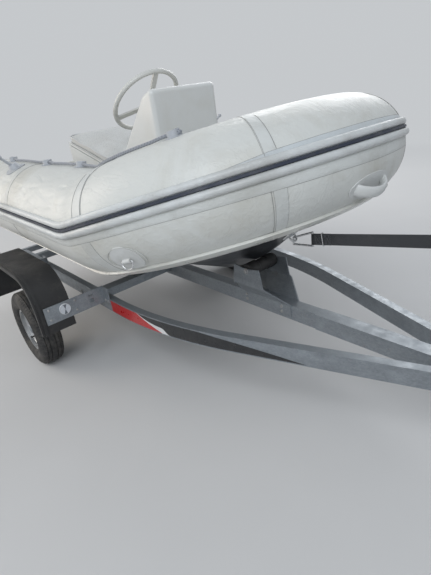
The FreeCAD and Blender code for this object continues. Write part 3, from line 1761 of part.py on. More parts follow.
reflector = cylinder("reflector_disc", guard_front + S.bracket_thickness + S.reflector_thickness / 2,
                     S.reflector_inset - bracket_end, bracket_z + S.reflector_rise, S.reflector_radius,
                     S.reflector_thickness, X)
pair("front_reflectors", reflector)


# Keel rollers: rubber rollers on pins between the ears of folded brackets on the keel beam.


def roller_axis(station):
    """The roller's centre under the keel: it just touches the keel line."""
    slope = (stem_height(station + 1) - stem_height(station - 1)) / 2
    outward = FreeCAD.Vector(slope, 0, -1).normalize()
    contact = FreeCAD.Vector(station, 0, stem_height(station))
    return contact + outward * (S.roller_radius.value + S.skin_gap.value)


# Rollers from bow to stern: station, and how far the bracket's cheeks run ahead of it.
ROLLERS = (
    (S.front_roller_station.value, S.front_cheek_nose.value),
    (S.mid_roller_station.value, S.roller_cheek_nose.value),
    (value_of(S.frame_rear_station + S.roller_cheek_tail), S.rear_cheek_nose.value),
)


def make_roller(station):
    """A rubber roller: a groove for the keel between two barrels with tapered ends."""
    half = S.roller_length.value / 2
    groove = S.roller_radius.value
    depth = S.roller_groove_depth.value
    barrel = groove + depth
    edge = S.roller_groove_half.value
    bore = S.roller_pin_radius.value + S.skin_gap.value
    rim = (
        (edge, groove),
        (edge + depth * 1.5, barrel),
        (half - depth * 4, barrel),
        (half, groove),
        (half, bore),
    )
    corners = [FreeCAD.Vector(radius, -offset, 0) for offset, radius in reversed(rim)]
    corners += [FreeCAD.Vector(radius, offset, 0) for offset, radius in rim]
    roller = Part.Face(Part.makePolygon(corners + corners[:1])).revolve(FreeCAD.Vector(0, 0, 0), Y, 360)
    roller.translate(roller_axis(station))
    return roller


def make_roller_bracket(station, nose):
    """Two bent cheeks, bolted to the keel beam's sides and flared out to hold the roller's pin."""
    centre = roller_axis(station)
    plate = S.bracket_thickness.value
    beam = S.keel_beam_width.value / 2
    inner = S.roller_length.value / 2 + S.roller_side_gap.value
    low, top = S.frame_top.value - S.roller_cheek_drop.value, S.frame_top.value
    barrel = S.roller_radius.value + S.roller_groove_depth.value
    flare = min((top + centre.z) / 2, centre.z - barrel - plate)
    ceiling = centre.z + S.roller_horn_rise.value
    bend = (
        (beam, low),
        (beam + plate, low),
        (beam + plate, top),
        (inner + plate, flare),
        (inner + plate, ceiling),
        (inner, ceiling),
        (inner, flare + plate / 2),
        (beam, top + plate / 2),
    )
    start, end = centre.x - S.roller_cheek_tail.value, centre.x + nose
    corners = [FreeCAD.Vector(start, y, z) for y, z in bend]
    folded = Part.Face(Part.makePolygon(corners + corners[:1])).extrude(X * (end - start))
    horn, saddle = S.roller_horn_reach.value, S.roller_saddle_half.value
    saddle_top = centre.z + S.roller_saddle_rise.value
    side = (
        (start, low),
        (end, low),
        (end, top),
        (centre.x + S.roller_horn_foot.value, (top + ceiling) / 2),
        (centre.x + horn, ceiling),
        (centre.x + saddle, saddle_top),
        (centre.x - saddle, saddle_top),
        (centre.x - horn, ceiling),
        (start, top),
    )
    corners = [FreeCAD.Vector(x, 0, z) for x, z in side]
    cheek = folded.common(Part.Face(Part.makePolygon(corners + corners[:1])).extrude(Y * (inner + plate)))
    width = beam * 2 + plate
    tie = Part.makeBox(saddle * 2, width, plate, FreeCAD.Vector(centre.x - saddle, -width / 2, top))
    reach = inner + plate + S.roller_pin_reach.value
    pin = Part.makeCylinder(S.roller_pin_radius.value, reach * 2, centre - Y * reach, Y)
    return tie.fuse([cheek, cheek.mirror(FreeCAD.Vector(0, 0, 0), Y), pin])


shape_node("keel_rollers", Part.makeCompound([make_roller(station) for station, _ in ROLLERS]))
shape_node("roller_brackets", Part.makeCompound([make_roller_bracket(*row) for row in ROLLERS]))


# Hull bunks: padded bearers that lie along the bottom panels, on posts from the rear cross member.


def bunk_seat():
    """A frame on the starboard bottom panel over the rear cross member: Z square to the panel."""
    station = S.rear_cross_station.value
    rise = chine_at(station)[1] - S.chine_drop.value - S.keel_height.value
    run = hull_breadth(station) - S.keel_half_width.value
    height = S.keel_height.value + (S.bunk_offset.value - S.keel_half_width.value) * rise / run
    lean = FreeCAD.Rotation(X, -math.degrees(math.atan2(rise, run)))
    return FreeCAD.Placement(FreeCAD.Vector(station, -S.bunk_offset.value, height), lean)


def under_panel(length, width, depth, drop):
    """A block that lies along the bottom panel, its top a given drop below it."""
    slab = Part.makeBox(length, width, depth, FreeCAD.Vector(-length / 2, -width / 2, -depth - drop))
    slab.Placement = bunk_seat().multiply(slab.Placement)
    return slab


def make_bunk():
    return under_panel(S.bunk_length.value, S.bunk_width.value, S.bunk_thickness.value, S.skin_gap.value)


def make_bunk_post():
    """An upright on the cross member, cut to the panel's slope, with a cap under the bunk."""
    seat = bunk_seat().Base
    post, cap = S.bunk_post.value, S.bunk_cap_thickness.value
    drop = S.skin_gap.value + S.bunk_thickness.value
    foot = vector(S.rear_cross_station - S.bunk_post / 2, -S.bunk_offset - S.bunk_post / 2, S.frame_top)
    upright = Part.makeBox(post, post, seat.z - S.frame_top.value + post, foot)
    above = under_panel(post * 3, post * 3, post * 3, drop + cap / 2 - post * 3)
    return upright.cut(above).fuse(under_panel(S.bunk_cap_length.value, S.bunk_width.value, cap, drop))


shape_node("hull_bunks", both_sides(make_bunk()))
shape_node("bunk_posts", both_sides(make_bunk_post()))


# Winch post with its bow stop and winch.
post_box = box("winch_post_box", S.winch_post_station, 0, S.frame_top, S.winch_post_width,
               S.winch_post_width, S.winch_post_top - S.frame_top)
foot_plate = box("winch_foot_plate", S.winch_post_station, 0, S.frame_top, S.winch_foot_length,
                 S.drawbar_width, S.winch_foot_thickness)
arm_length = S.winch_post_station - S.winch_post_width / 2 - S.bow_stop_station
stop_arm = box("bow_stop_arm", S.bow_stop_station + arm_length / 2, 0,
               S.bow_stop_height - S.stop_arm_width / 2, arm_length, S.stop_arm_width, S.stop_arm_width)
winch_post = fused("winch_post_fuse", post_box, foot_plate, stop_arm)


def make_bow_stop():
    """A rubber V block that faces the stem."""
    holder = body("bow_stop_body")
    half = S.bow_stop_half
    back = S.bow_stop_station
    face = back - S.bow_stop_depth
    chamfer = S.bow_stop_chamfer
    profile = outline(sketch(holder, "plan", S.bow_stop_height), (
        (back, -half),
        (back, half),
        (face + chamfer / 2, half),
        (face, half - chamfer),
        (back - S.bow_stop_valley, 0),
        (face, -half + chamfer),
        (face + chamfer / 2, -half),
    ))
    pad(holder, profile, S.bow_stop_thickness)
    return holder


node("bow_stop", make_bow_stop())


# Winch frame: two cheeks on the post's aft face, with the drum's bearing holes.


def winch_axis(y=0):
    """A point on the winch's axis."""
    return vector(S.winch_station, y, S.winch_height)


def make_winch_frame():
    face = S.winch_post_station.value - S.winch_post_width.value / 2
    inner, plate = S.winch_cheek_inner.value, S.winch_cheek_thickness.value
    half, tip = S.winch_cheek_half.value, S.winch_cheek_tip.value
    drum = winch_axis()
    pieces = []
    for low in (-inner - plate, inner):
        side = ((face, half), (face, -half), (drum.x, -tip), (drum.x, tip))
        corners = [FreeCAD.Vector(x, low, drum.z + rise) for x, rise in side]
        pieces.append(Part.Face(Part.makePolygon(corners + corners[:1])).extrude(Y * plate))
        pieces.append(Part.makeCylinder(tip, plate, winch_axis(low), Y))
    width = inner + plate
    back = Part.makeBox(plate, width * 2, half * 2, FreeCAD.Vector(face - plate, -width, drum.z - half))
    bore_radius = S.winch_shaft_radius.value + S.running_gap.value
    bore = Part.makeCylinder(bore_radius, width * 4, winch_axis(-width * 2), Y)
    return back.fuse(pieces).cut(bore)


def make_winch_drum():
    """The drum's core and side discs on the shaft that carries the crank."""
    half = value_of(S.strap_width / 2 + S.winch_disc_gap)
    disc = S.winch_disc_thickness.value
    inner = value_of(S.winch_cheek_inner + S.winch_cheek_thickness)
    start = -inner - S.crank_standoff.value
    core = Part.makeCylinder(S.winch_core_radius.value, half * 2, winch_axis(-half), Y)
    length = inner * 2 + value_of(S.crank_standoff + S.winch_shaft_end)
    shaft = Part.makeCylinder(S.winch_shaft_radius.value, length, winch_axis(start), Y)
    discs = [Part.makeCylinder(S.winch_disc_radius.value, disc, winch_axis(low), Y)
             for low in (-half - disc, half)]
    return core.fuse([shaft] + discs)


def make_coil():
    """The turns of strap on the drum."""
    half = S.strap_width.value / 2
    gap = S.skin_gap.value
    coil = Part.makeCylinder(S.winch_coil_radius.value - gap, half * 2, winch_axis(-half), Y)
    return coil.cut(Part.makeCylinder(S.winch_core_radius.value + gap, half * 2, winch_axis(-half), Y))


def make_crank():
    """A flat crank with its turning grip, on the shaft's starboard end."""
    plate = S.crank_thickness.value
    origin = winch_axis(-(S.winch_cheek_inner + S.winch_cheek_thickness + S.crank_standoff))
    tip = origin + vector(-S.crank_rake, 0, -S.crank_drop)
    line = tip - origin
    half = S.crank_half_width.value
    square = FreeCAD.Vector(-line.z, 0, line.x).normalize() * half
    corners = [origin + square, origin - square, tip - square, tip + square]
    arm = Part.Face(Part.makePolygon(corners + corners[:1])).extrude(Y * plate)
    grip = Part.makeCylinder(S.crank_grip_radius.value, S.crank_grip_length.value,
                             tip - Y * S.crank_grip_length.value, Y)
    return arm.fuse([
        Part.makeCylinder(S.crank_eye_radius.value, plate, origin, Y),
        Part.makeCylinder(half, plate, tip, Y),
        grip,
    ])


doc.recompute()
shape_node("winch_post", winch_post.Shape.fuse(make_winch_frame()))
shape_node("winch_drum", make_winch_drum().fuse(make_crank()))
shape_node("winch_coil", make_coil())


# Coupling: a pressed head with the ball socket and its lever.


def make_coupling():
    ball = vector(S.ball_station, 0, S.ball_height)
    nose = value_of(S.coupling_nose - S.ball_station)
    wall = S.coupling_wall.value
    skirt = S.coupling_skirt.value
    head = Part.makeCylinder(nose, skirt + S.coupling_crown.value, ball - Z * skirt, Z)
    start = S.coupling_station - S.coupling_overlap
    bar_length = S.coupling_overlap.value
    bar = Part.makeBox(bar_length, S.drawbar_width.value, S.rail_depth.value,
                       vector(start, -S.drawbar_width / 2, S.frame_bottom))
    width = S.drawbar_width.value + wall * 2
    neck_length = bar_length + S.coupling_neck_reach.value
    neck = Part.makeBox(neck_length, width, S.rail_depth.value + wall * 2,
                        vector(start, -width / 2, S.frame_bottom - wall))
    bridge_length = value_of(S.ball_station - S.coupling_station)
    bridge_foot = S.ball_height - S.coupling_bridge_drop
    bridge = Part.makeBox(bridge_length, S.coupling_bridge_width.value, S.coupling_bridge_height.value,
                          vector(S.coupling_station, -S.coupling_bridge_width / 2, bridge_foot))
    crown = ball + Z * S.coupling_crown.value
    lever_start = crown + vector(-S.lever_radius, 0, 0)
    lever_top = ball + vector(-S.lever_radius, 0, S.lever_bend_rise)
    lever_end = ball + vector(-S.lever_length, 0, S.lever_rise)
    lever = rod(S.lever_radius.value, [lever_start, lever_top, lever_end])
    shape = head.fuse([neck, bridge, lever]).cut(bar)
    radius = S.ball_radius.value
    socket = Part.makeSphere(radius, ball)
    mouth = Part.makeCylinder(radius, radius * 2, ball - Z * (radius * 2), Z)
    return shape.cut(socket.fuse(mouth))


shape_node("coupling_head", make_coupling())


# Jockey wheel: a clamp on the drawbar, its tube, the sliding leg and the castor.
jockey_y = -(S.drawbar_width / 2 + S.jockey_offset)


def make_jockey_tube():
    """The outer tube with the clamp that holds it to the drawbar, its cap and its crank."""
    foot = vector(S.jockey_station, jockey_y, S.jockey_tube_bottom)
    height = value_of(S.jockey_tube_top - S.jockey_tube_bottom)
    top = foot + Z * height
    clamp_low = value_of(S.frame_bottom + S.jockey_clamp_inset)
    clamp_height = value_of(S.rail_depth - S.jockey_clamp_inset * 2)
    side = -S.drawbar_width.value / 2
    ring = Part.makeCylinder(value_of(S.jockey_tube_radius + S.jockey_clamp_wall), clamp_height,
                             FreeCAD.Vector(foot.x, foot.y, clamp_low))
    width = S.jockey_clamp_arm.value
    arm = Part.makeBox(width, S.jockey_offset.value, clamp_height,
                       FreeCAD.Vector(foot.x - width / 2, side - S.jockey_offset.value, clamp_low))
    length, thickness = S.jockey_clamp_plate.value, S.jockey_plate_thickness.value
    plate = Part.makeBox(length, thickness, clamp_height,
                         FreeCAD.Vector(foot.x - length / 2, side - thickness, clamp_low))
    handle_z = S.jockey_spindle_rise.value
    bar = S.jockey_handle_thickness.value
    half = S.jockey_handle_width.value / 2
    spindle = Part.makeCylinder(S.jockey_spindle_radius.value, handle_z + bar, top)
    handle = Part.makeBox(S.jockey_handle_length.value + half, half * 2, bar,
                          top + FreeCAD.Vector(-S.jockey_handle_length.value, -half, handle_z))
    knob_radius = S.jockey_knob_radius.value
    knob_at = top + FreeCAD.Vector(knob_radius - S.jockey_handle_length.value, 0, handle_z)
    knob = Part.makeCylinder(knob_radius, S.jockey_knob_height.value, knob_at)
    tube_part = Part.makeCylinder(S.jockey_tube_radius.value, height, foot)
    tube_part = tube_part.fuse([ring, arm, plate, spindle, handle, knob])
    bore_radius = value_of(S.jockey_leg_radius + S.running_gap)
    bore = Part.makeCylinder(bore_radius, height - S.jockey_cap_wall.value, foot)
    return tube_part.cut(bore)


def make_jockey_leg():
    """The leg that slides in the tube and stands on the fork's head."""
    bottom = fork_top() + S.fork_crown_thickness.value + S.fork_head_height.value
    foot = FreeCAD.Vector(S.jockey_station.value, value_of(jockey_y), bottom)
    top = value_of(S.jockey_tube_top - S.jockey_leg_top_gap)
    return Part.makeCylinder(S.jockey_leg_radius.value, top - bottom, foot, Z)


def fork_top():
    """Height of the fork's crown plate over the wheel."""
    return value_of(S.jockey_wheel_radius * 2 + S.fork_top_gap)


def jockey_axle(y=0):
    """A point on the castor's axle, a given distance to port of its middle."""
    return vector(S.jockey_station - S.jockey_trail, jockey_y + y, S.jockey_wheel_radius)


def make_jockey_fork():
    radius = S.jockey_wheel_radius.value
    top = fork_top()
    plate, crown_plate = S.fork_thickness.value, S.fork_crown_thickness.value
    inner = S.jockey_wheel_width.value / 2 + S.fork_side_gap.value
    middle = value_of(jockey_y)
    axle = jockey_axle()
    start, end = axle.x - S.fork_rear_reach.value, S.jockey_station.value + S.fork_front_reach.value
    width = inner + plate
    crown = Part.makeBox(end - start, width * 2, crown_plate, FreeCAD.Vector(start, middle - width, top))
    head = Part.makeCylinder(S.fork_head_radius.value, S.fork_head_height.value,
                             FreeCAD.Vector(S.jockey_station.value, middle, top + crown_plate), Z)
    eye = S.fork_eye_radius.value
    pieces = [head]
    for low in (-width, inner):
        side = ((start, top), (end, top), (axle.x + eye, radius), (axle.x - eye, radius))
        corners = [FreeCAD.Vector(x, middle + low, z) for x, z in side]
        pieces.append(Part.Face(Part.makePolygon(corners + corners[:1])).extrude(Y * plate))
        pieces.append(Part.makeCylinder(eye, plate, jockey_axle(low), Y))
    reach = width + S.jockey_axle_radius.value
    pieces.append(Part.makeCylinder(S.jockey_axle_radius.value, reach * 2, jockey_axle(-reach), Y))
    return crown.fuse(pieces)


def make_jockey_wheel():
    radius = S.jockey_wheel_radius.value
    half = S.jockey_wheel_width.value / 2
    tyre = Part.makeCylinder(radius, half * 2, jockey_axle(-half), Y)
    rim_edges = [edge for edge in tyre.Edges if edge.Curve.TypeId == "Part::GeomCircle"]
    tyre = tyre.makeFillet(S.jockey_wheel_shoulder.value, rim_edges)
    depth, dish = S.jockey_dish_depth.value, S.jockey_dish_radius.value
    dishes = [Part.makeCylinder(dish, depth, jockey_axle(low), Y) for low in (-half, half - depth)]
    hub_part = Part.makeCylinder(S.jockey_hub_radius.value, half * 2, jockey_axle(-half), Y)
    bore_radius = S.jockey_axle_radius.value + S.running_gap.value
    bore = Part.makeCylinder(bore_radius, half * 2, jockey_axle(-half), Y)
    return tyre.cut(dishes).fuse(hub_part).cut(bore)


shape_node("jockey_tube", make_jockey_tube())
shape_node("jockey_leg", make_jockey_leg())
shape_node("jockey_fork", make_jockey_fork())
shape_node("jockey_wheel", make_jockey_wheel())


# Rear lights on a cross bar carried by two arms from the rails.
bar_z = S.frame_top - S.light_arm_drop
light_arm = box("light_arm", (S.frame_rear_station + S.light_station) / 2, -S.rail_half_spacing, bar_z,
                S.frame_rear_station - S.light_station, S.light_arm_width, S.light_bar)
light_bar = box("light_bar_box", S.light_station - S.light_bar / 2, 0, bar_z, S.light_bar,
                S.light_half_width * 2, S.light_bar)
node("light_bar", fused("light_bar_fuse", light_bar, light_arm, mirrored(light_arm)))
lamp = box("lamp_box", S.light_station - S.light_bar - S.lamp_depth / 2,
           -S.light_half_width + S.lamp_width / 2, bar_z - S.lamp_drop, S.lamp_depth, S.lamp_width,
           S.lamp_height)
pair("rear_lamps", lamp)


# Check every object, then write one file for each sub-part.
doc.recompute()
for thing in doc.Objects:
    if "Invalid" in thing.State or "Error" in thing.State:
        raise RuntimeError("%s failed: %s" % (thing.Name, thing.State))
for name, thing in NODES.items():
    if thing.Shape.isNull() or not thing.Shape.isValid():
        raise RuntimeError("%s has no valid shape" % name)
    thing.Shape.exportStep("parts/%s.step" % name)
print("%d sub-parts" % len(NODES))
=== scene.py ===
import bmesh
import bpy
import json
import math
import random
import numpy as np
from itertools import product
from mathutils import Matrix, Vector, noise


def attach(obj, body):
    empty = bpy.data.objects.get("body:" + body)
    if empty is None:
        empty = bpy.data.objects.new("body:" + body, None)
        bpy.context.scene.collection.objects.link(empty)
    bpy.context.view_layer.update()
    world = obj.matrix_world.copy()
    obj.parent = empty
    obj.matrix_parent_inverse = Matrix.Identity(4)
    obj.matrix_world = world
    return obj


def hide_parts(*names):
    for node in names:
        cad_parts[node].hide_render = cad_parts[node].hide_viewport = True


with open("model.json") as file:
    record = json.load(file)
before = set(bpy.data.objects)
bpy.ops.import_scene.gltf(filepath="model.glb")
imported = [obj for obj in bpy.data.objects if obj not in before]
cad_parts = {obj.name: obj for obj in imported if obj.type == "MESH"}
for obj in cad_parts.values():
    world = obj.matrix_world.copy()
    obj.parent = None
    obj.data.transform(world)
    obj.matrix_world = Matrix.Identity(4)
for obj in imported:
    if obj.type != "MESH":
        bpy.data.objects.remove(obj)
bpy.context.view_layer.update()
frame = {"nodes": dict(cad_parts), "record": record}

# Rigid inflatable boat on its road trailer: the looks of every part, in metres, on the CAD frame.
# +X to the bow, +Y to port, +Z up.

X = Vector((1, 0, 0))
Y = Vector((0, 1, 0))
Z = Vector((0, 0, 1))
SIDES = (("starboard", -1), ("port", 1))


# ---- node materials

class Shader:
    """A node material with short calls for the nodes that its surfaces need."""

    def __init__(self, name, colour, rough=0.5, metal=0.0):
        self.material = bpy.data.materials.new(name)
        self.material.use_nodes = True
        self.tree = self.material.node_tree
        self.bsdf = self.tree.nodes["Principled BSDF"]
        self.set("Base Color", (*colour, 1)).set("Roughness", rough).set("Metallic", metal)
        self.height = None
        self.place = self.node("ShaderNodeTexCoord").outputs["Object"]

    def set(self, socket, value):
        self.bsdf.inputs[socket].default_value = value
        return self

    def join(self, source, socket):
        """Link a source to a socket, or set the number, vector or colour that it is."""
        if isinstance(source, bpy.types.NodeSocket):
            self.tree.links.new(source, socket)
        else:
            socket.default_value = (*source, 1) if socket.type == "RGBA" else source

    def node(self, kind, inputs=None, **settings):
        made = self.tree.nodes.new(kind)
        for key, value in settings.items():
            setattr(made, key, value)
        for socket, source in (inputs or {}).items():
            self.join(source, made.inputs[socket])
        return made

    def stretched(self, scale):
        """Object coordinates scaled by axis."""
        return self.node("ShaderNodeMapping", {"Scale": scale, "Vector": self.place}).outputs[0]

    def noise(self, scale, detail=4.0, rough=0.55, place=None, distortion=0.0):
        return self.node("ShaderNodeTexNoise", {
            "Scale": scale, "Detail": detail, "Roughness": rough, "Distortion": distortion,
            "Vector": place or self.place}).outputs["Fac"]

    def cells(self, scale, output="Distance", place=None, randomness=1.0):
        return self.node("ShaderNodeTexVoronoi", {
            "Scale": scale, "Randomness": randomness, "Vector": place or self.place}).outputs[output]

    def waves(self, scale, axis, place=None):
        return self.node("ShaderNodeTexWave", {"Scale": scale, "Vector": place or self.place},
                         bands_direction=axis).outputs["Fac"]

    def ramp(self, factor, *stops):
        """A colour or grey ramp from (position, value) stops."""
        made = self.node("ShaderNodeValToRGB", {"Fac": factor})
        elements = made.color_ramp.elements
        while len(elements) < len(stops):
            elements.new(0.5)
        for element, (position, value) in zip(elements, stops):
            element.position = position
            element.color = (value, value, value, 1)
        return made.outputs["Color"]

    def mask(self, texture, low, high):
        """From none to all between two values of a texture."""
        return self.ramp(texture, (low, 0.0), (high, 1.0))

    def facing_up(self, low, high):
        """A mask of what faces up, by the normal's rise."""
        normal = self.node("ShaderNodeNewGeometry").outputs["Normal"]
        return self.mask(self.node("ShaderNodeSeparateXYZ", {0: normal}).outputs["Z"], low, high)

    def math(self, operation, first, second):
        return self.node("ShaderNodeMath", {0: first, 1: second}, operation=operation).outputs[0]

    def times(self, first, second):
        return self.math("MULTIPLY", first, second)

    def mix(self, factor, first, second):
        return self.node("ShaderNodeMix", {0: factor, 6: first, 7: second}, data_type="RGBA").outputs[2]

    def laid(self, base, over, cover, share):
        """A colour laid over a base where a mask covers it, at a share of its strength."""
        return self.mix(self.times(cover, share), base, over)

    def colour(self, source):
        self.join(source, self.bsdf.inputs["Base Color"])

    def rough(self, texture, *stops):
        """Roughness by a texture's (position, value) stops."""
        self.join(self.ramp(texture, *stops), self.bsdf.inputs["Roughness"])

    def bump(self, source, depth, strength=1.0):
        """Add a bump of a depth in metres on top of those already there."""
        inputs = {"Distance": depth, "Strength": strength, "Height": source}
        if self.height is not None:
            inputs["Normal"] = self.height
        self.height = self.node("ShaderNodeBump", inputs).outputs["Normal"]
        self.join(self.height, self.bsdf.inputs["Normal"])


def shade(colour, share):
    return tuple(min(1.0, part * share) for part in colour)


def aged(shader, clean, dirty, scale=3.0, low=0.48, high=0.72):
    """Clean paint or skin with clouds of dirt."""
    return shader.mix(shader.mask(shader.noise(scale, 6.0, 0.62, distortion=0.6), low, high), clean, dirty)


def make_tube_skin(name, clean, dirty, rough=0.38):
    """Coated fabric: faint weave, soft dents, handling marks and dirt."""
    skin = Shader(name, clean, rough)
    marks = skin.mask(skin.noise(38.0, 8.0, 0.7, skin.stretched((0.35, 1, 1))), 0.60, 0.78)
    skin.colour(skin.laid(aged(skin, clean, dirty, 2.6), shade(dirty, 0.62), marks, 0.35))
    skin.rough(skin.noise(7.0, 5.0), (0.3, rough - 0.08), (0.7, rough + 0.10))
    skin.bump(skin.noise(5.0, 3.0), 0.010, 0.45)
    folds = skin.noise(9.0, 5.0, 0.6, skin.stretched((0.45, 1.5, 1.5)), 0.8)
    skin.bump(skin.ramp(folds, (0.44, 0.0), (0.50, 1.0), (0.56, 0.0)), 0.0022, 0.30)
    skin.bump(skin.noise(60.0, 4.0), 0.0012, 0.35)
    skin.bump(skin.cells(900.0, randomness=0.4), 0.0003, 0.5)
    skin.set("Coat Weight", 0.08).set("Coat Roughness", 0.3)
    return skin.material


def make_gelcoat(name, clean, dirty, rough=0.22):
    """Moulded gelcoat: smooth, a little dull and dusty."""
    coat = Shader(name, clean, rough)
    specks = coat.mask(coat.noise(150.0, 5.0, 0.7), 0.66, 0.74)
    coat.colour(coat.laid(aged(coat, clean, dirty, 4.0, 0.50, 0.95), shade(dirty, 0.5), specks, 0.25))
    coat.rough(coat.noise(9.0, 6.0), (0.35, rough), (0.75, rough + 0.2))
    coat.bump(coat.noise(2.5, 2.0), 0.006, 0.2)
    coat.bump(coat.noise(90.0, 3.0), 0.0004, 0.4)
    coat.set("Coat Weight", 0.25).set("Coat Roughness", 0.15)
    return coat.material


def make_galvanised(name, tint=(0.285, 0.31, 0.335), rust=0.0):
    """Hot-dip zinc: spangle, white bloom, run-off streaks, lighter patches on what faces up and specks of rust.
    """
    zinc = Shader(name, tint, 0.5, 0.6)
    spangle = zinc.cells(170.0, "Color", zinc.stretched((0.6, 1, 1)))
    grain = zinc.mask(zinc.node("ShaderNodeRGBToBW", {0: spangle}).outputs[0], 0.0, 1.0)
    base = zinc.mix(grain, shade(tint, 0.84), shade(tint, 1.10))
    bloom = zinc.mask(zinc.noise(11.0, 7.0, 0.65), 0.50, 0.70)
    base = zinc.laid(base, shade(tint, 1.35), bloom, 0.40)
    streaks = zinc.mask(zinc.noise(9.0, 6.0, 0.6, zinc.stretched((0.25, 2.2, 2.2))), 0.46, 0.66)
    base = zinc.laid(base, shade(tint, 0.62), streaks, 0.40)
    # lighter in patches on what faces up
    top_patches = zinc.ramp(zinc.noise(6.0, 7.0, 0.65, zinc.stretched((0.5, 1, 1))), (0.30, 0.55), (0.66, 1.0))
    base = zinc.laid(base, shade(tint, 1.5), zinc.times(zinc.facing_up(0.55, 0.95), top_patches), 0.5)
    stains = zinc.mask(zinc.noise(17.0, 9.0, 0.72), 0.63 - rust * 0.08, 0.74)
    zinc.colour(zinc.laid(base, (0.22, 0.13, 0.07), stains, 0.55 + rust * 0.3))
    zinc.rough(zinc.noise(23.0, 5.0), (0.3, 0.38), (0.7, 0.62))
    zinc.bump(zinc.noise(70.0, 5.0), 0.0012, 0.4)
    zinc.bump(grain, 0.0002, 0.4)
    return zinc.material


def make_plastic(name, base, rough=0.55, grain=420.0, dust=(0.22, 0.20, 0.17)):
    """Grained plastic with dust lying in it."""
    plastic = Shader(name, base, rough)
    plastic.colour(plastic.laid(base, dust, plastic.mask(plastic.noise(8.0, 8.0, 0.7), 0.52, 0.80), 0.5))
    plastic.rough(plastic.noise(12.0, 4.0), (0.3, rough - 0.1), (0.7, rough + 0.15))
    plastic.bump(plastic.cells(grain), 0.0005, 0.5)
    return plastic.material


def make_rubber(name, base=(0.022, 0.022, 0.023), dust=(0.16, 0.145, 0.125), rough=0.7):
    """Black rubber with brake dust and dried mud."""
    rubber = Shader(name, base, rough)
    rubber.colour(rubber.laid(base, dust, rubber.mask(rubber.noise(14.0, 9.0, 0.72), 0.46, 0.72), 0.55))
    rubber.rough(rubber.noise(20.0, 4.0), (0.3, rough - 0.12), (0.7, rough + 0.15))
    rubber.bump(rubber.noise(160.0, 5.0), 0.0008, 0.5)
    return rubber.material


def make_webbing(name):
    """Woven strap: ribs along and across."""
    black = (0.022, 0.024, 0.028)
    web = Shader(name, black, 0.75)
    weave = web.times(web.waves(210.0, "X"), web.waves(330.0, "Z"))
    dusty = web.laid(black, (0.12, 0.11, 0.10), web.mask(web.noise(20.0, 6.0), 0.5, 0.8), 0.3)
    web.colour(web.laid(dusty, (0.06, 0.065, 0.075), weave, 0.5))
    web.bump(weave, 0.0006, 0.8)
    web.set("Sheen Weight", 0.3)
    return web.material


def make_rope(name):
    """Braided cord, its strands read from the piece's own map, with painted shade in the grooves between them.
    """
    grey = (0.34, 0.36, 0.40)
    rope = Shader(name, grey, 0.8)
    rope.place = rope.node("ShaderNodeTexCoord").outputs["UV"]
    left, right = (rope.waves(1.0, "DIAGONAL", rope.stretched((lay, 2, 1))) for lay in (2, -2))
    braid = rope.math("MAXIMUM", left, right)
    # painted shade: the grooves between the strands are darkened
    rope.colour(rope.mix(braid, shade(grey, 0.45), grey))
    rope.bump(braid, 0.0012, 0.8)
    rope.set("Sheen Weight", 0.2)
    return rope.material


def make_metal(name, base, rough):
    """Bright metal with fine scratches and dull spots."""
    metal = Shader(name, base, rough, 1.0)
    scratches = metal.noise(120.0, 4.0, place=metal.stretched((1, 1, 12)))
    metal.rough(scratches, (0.35, rough), (0.70, rough + 0.22))
    metal.colour(metal.laid(base, (0.24, 0.20, 0.16), metal.mask(metal.noise(60.0, 6.0), 0.62, 0.78), 0.4))
    metal.bump(scratches, 0.0002, 0.3)
    return metal.material


def make_vinyl(name):
    """Marine vinyl: leather grain, and beads of dew on what faces up."""
    clean = (0.60, 0.61, 0.60)
    vinyl = Shader(name, clean, 0.45)
    beads = vinyl.ramp(vinyl.cells(170.0), (0.16, 1.0), (0.30, 0.0))
    dew = vinyl.times(beads, vinyl.facing_up(0.45, 0.80))
    vinyl.colour(vinyl.laid(aged(vinyl, clean, (0.52, 0.52, 0.50), 5.0), (0.30, 0.33, 0.36), dew, 0.55))
    vinyl.rough(dew, (0.0, 0.45), (1.0, 0.06))
    vinyl.bump(vinyl.cells(420.0), 0.0004, 0.5)
    vinyl.bump(dew, 0.0012, 0.9)
    return vinyl.material


def make_deck_skin(name):
    """Cockpit floor: pale moulding with a raised non-slip pattern."""
    deck = Shader(name, (0.68, 0.68, 0.66), 0.45)
    studs = deck.ramp(deck.cells(62.0, randomness=0.0), (0.25, 1.0), (0.42, 0.0))
    hollow = deck.ramp(studs, (0.0, 1.0), (1.0, 0.0))
    worn = aged(deck, (0.60, 0.61, 0.60), (0.44, 0.43, 0.40), 5.0, 0.45, 0.85)
    deck.colour(deck.laid(worn, (0.22, 0.21, 0.19), hollow, 0.16))
    deck.bump(studs, 0.0020, 1.0)
    return deck.material


def make_lens(name, base):
    """Moulded lamp lens with a prismatic inside."""
    lens = Shader(name, base, 0.12)
    prisms = lens.cells(160.0, randomness=0.0)
    lens.colour(lens.mix(prisms, shade(base, 0.6), base))
    lens.bump(prisms, 0.0010, 0.5)
    lens.set("Coat Weight", 0.6)
    return lens.material


def make_film(name, base):
    """Stuck-on vinyl film: glossy, a little dusty and scratched."""
    film = Shader(name, base, 0.3)
    film.colour(film.laid(base, (0.26, 0.25, 0.23), film.mask(film.noise(26.0, 8.0, 0.7), 0.50, 0.78), 0.10))
    film.rough(film.noise(40.0, 5.0), (0.35, 0.25), (0.75, 0.48))
    film.set("Coat Weight", 0.3)
    return film.material


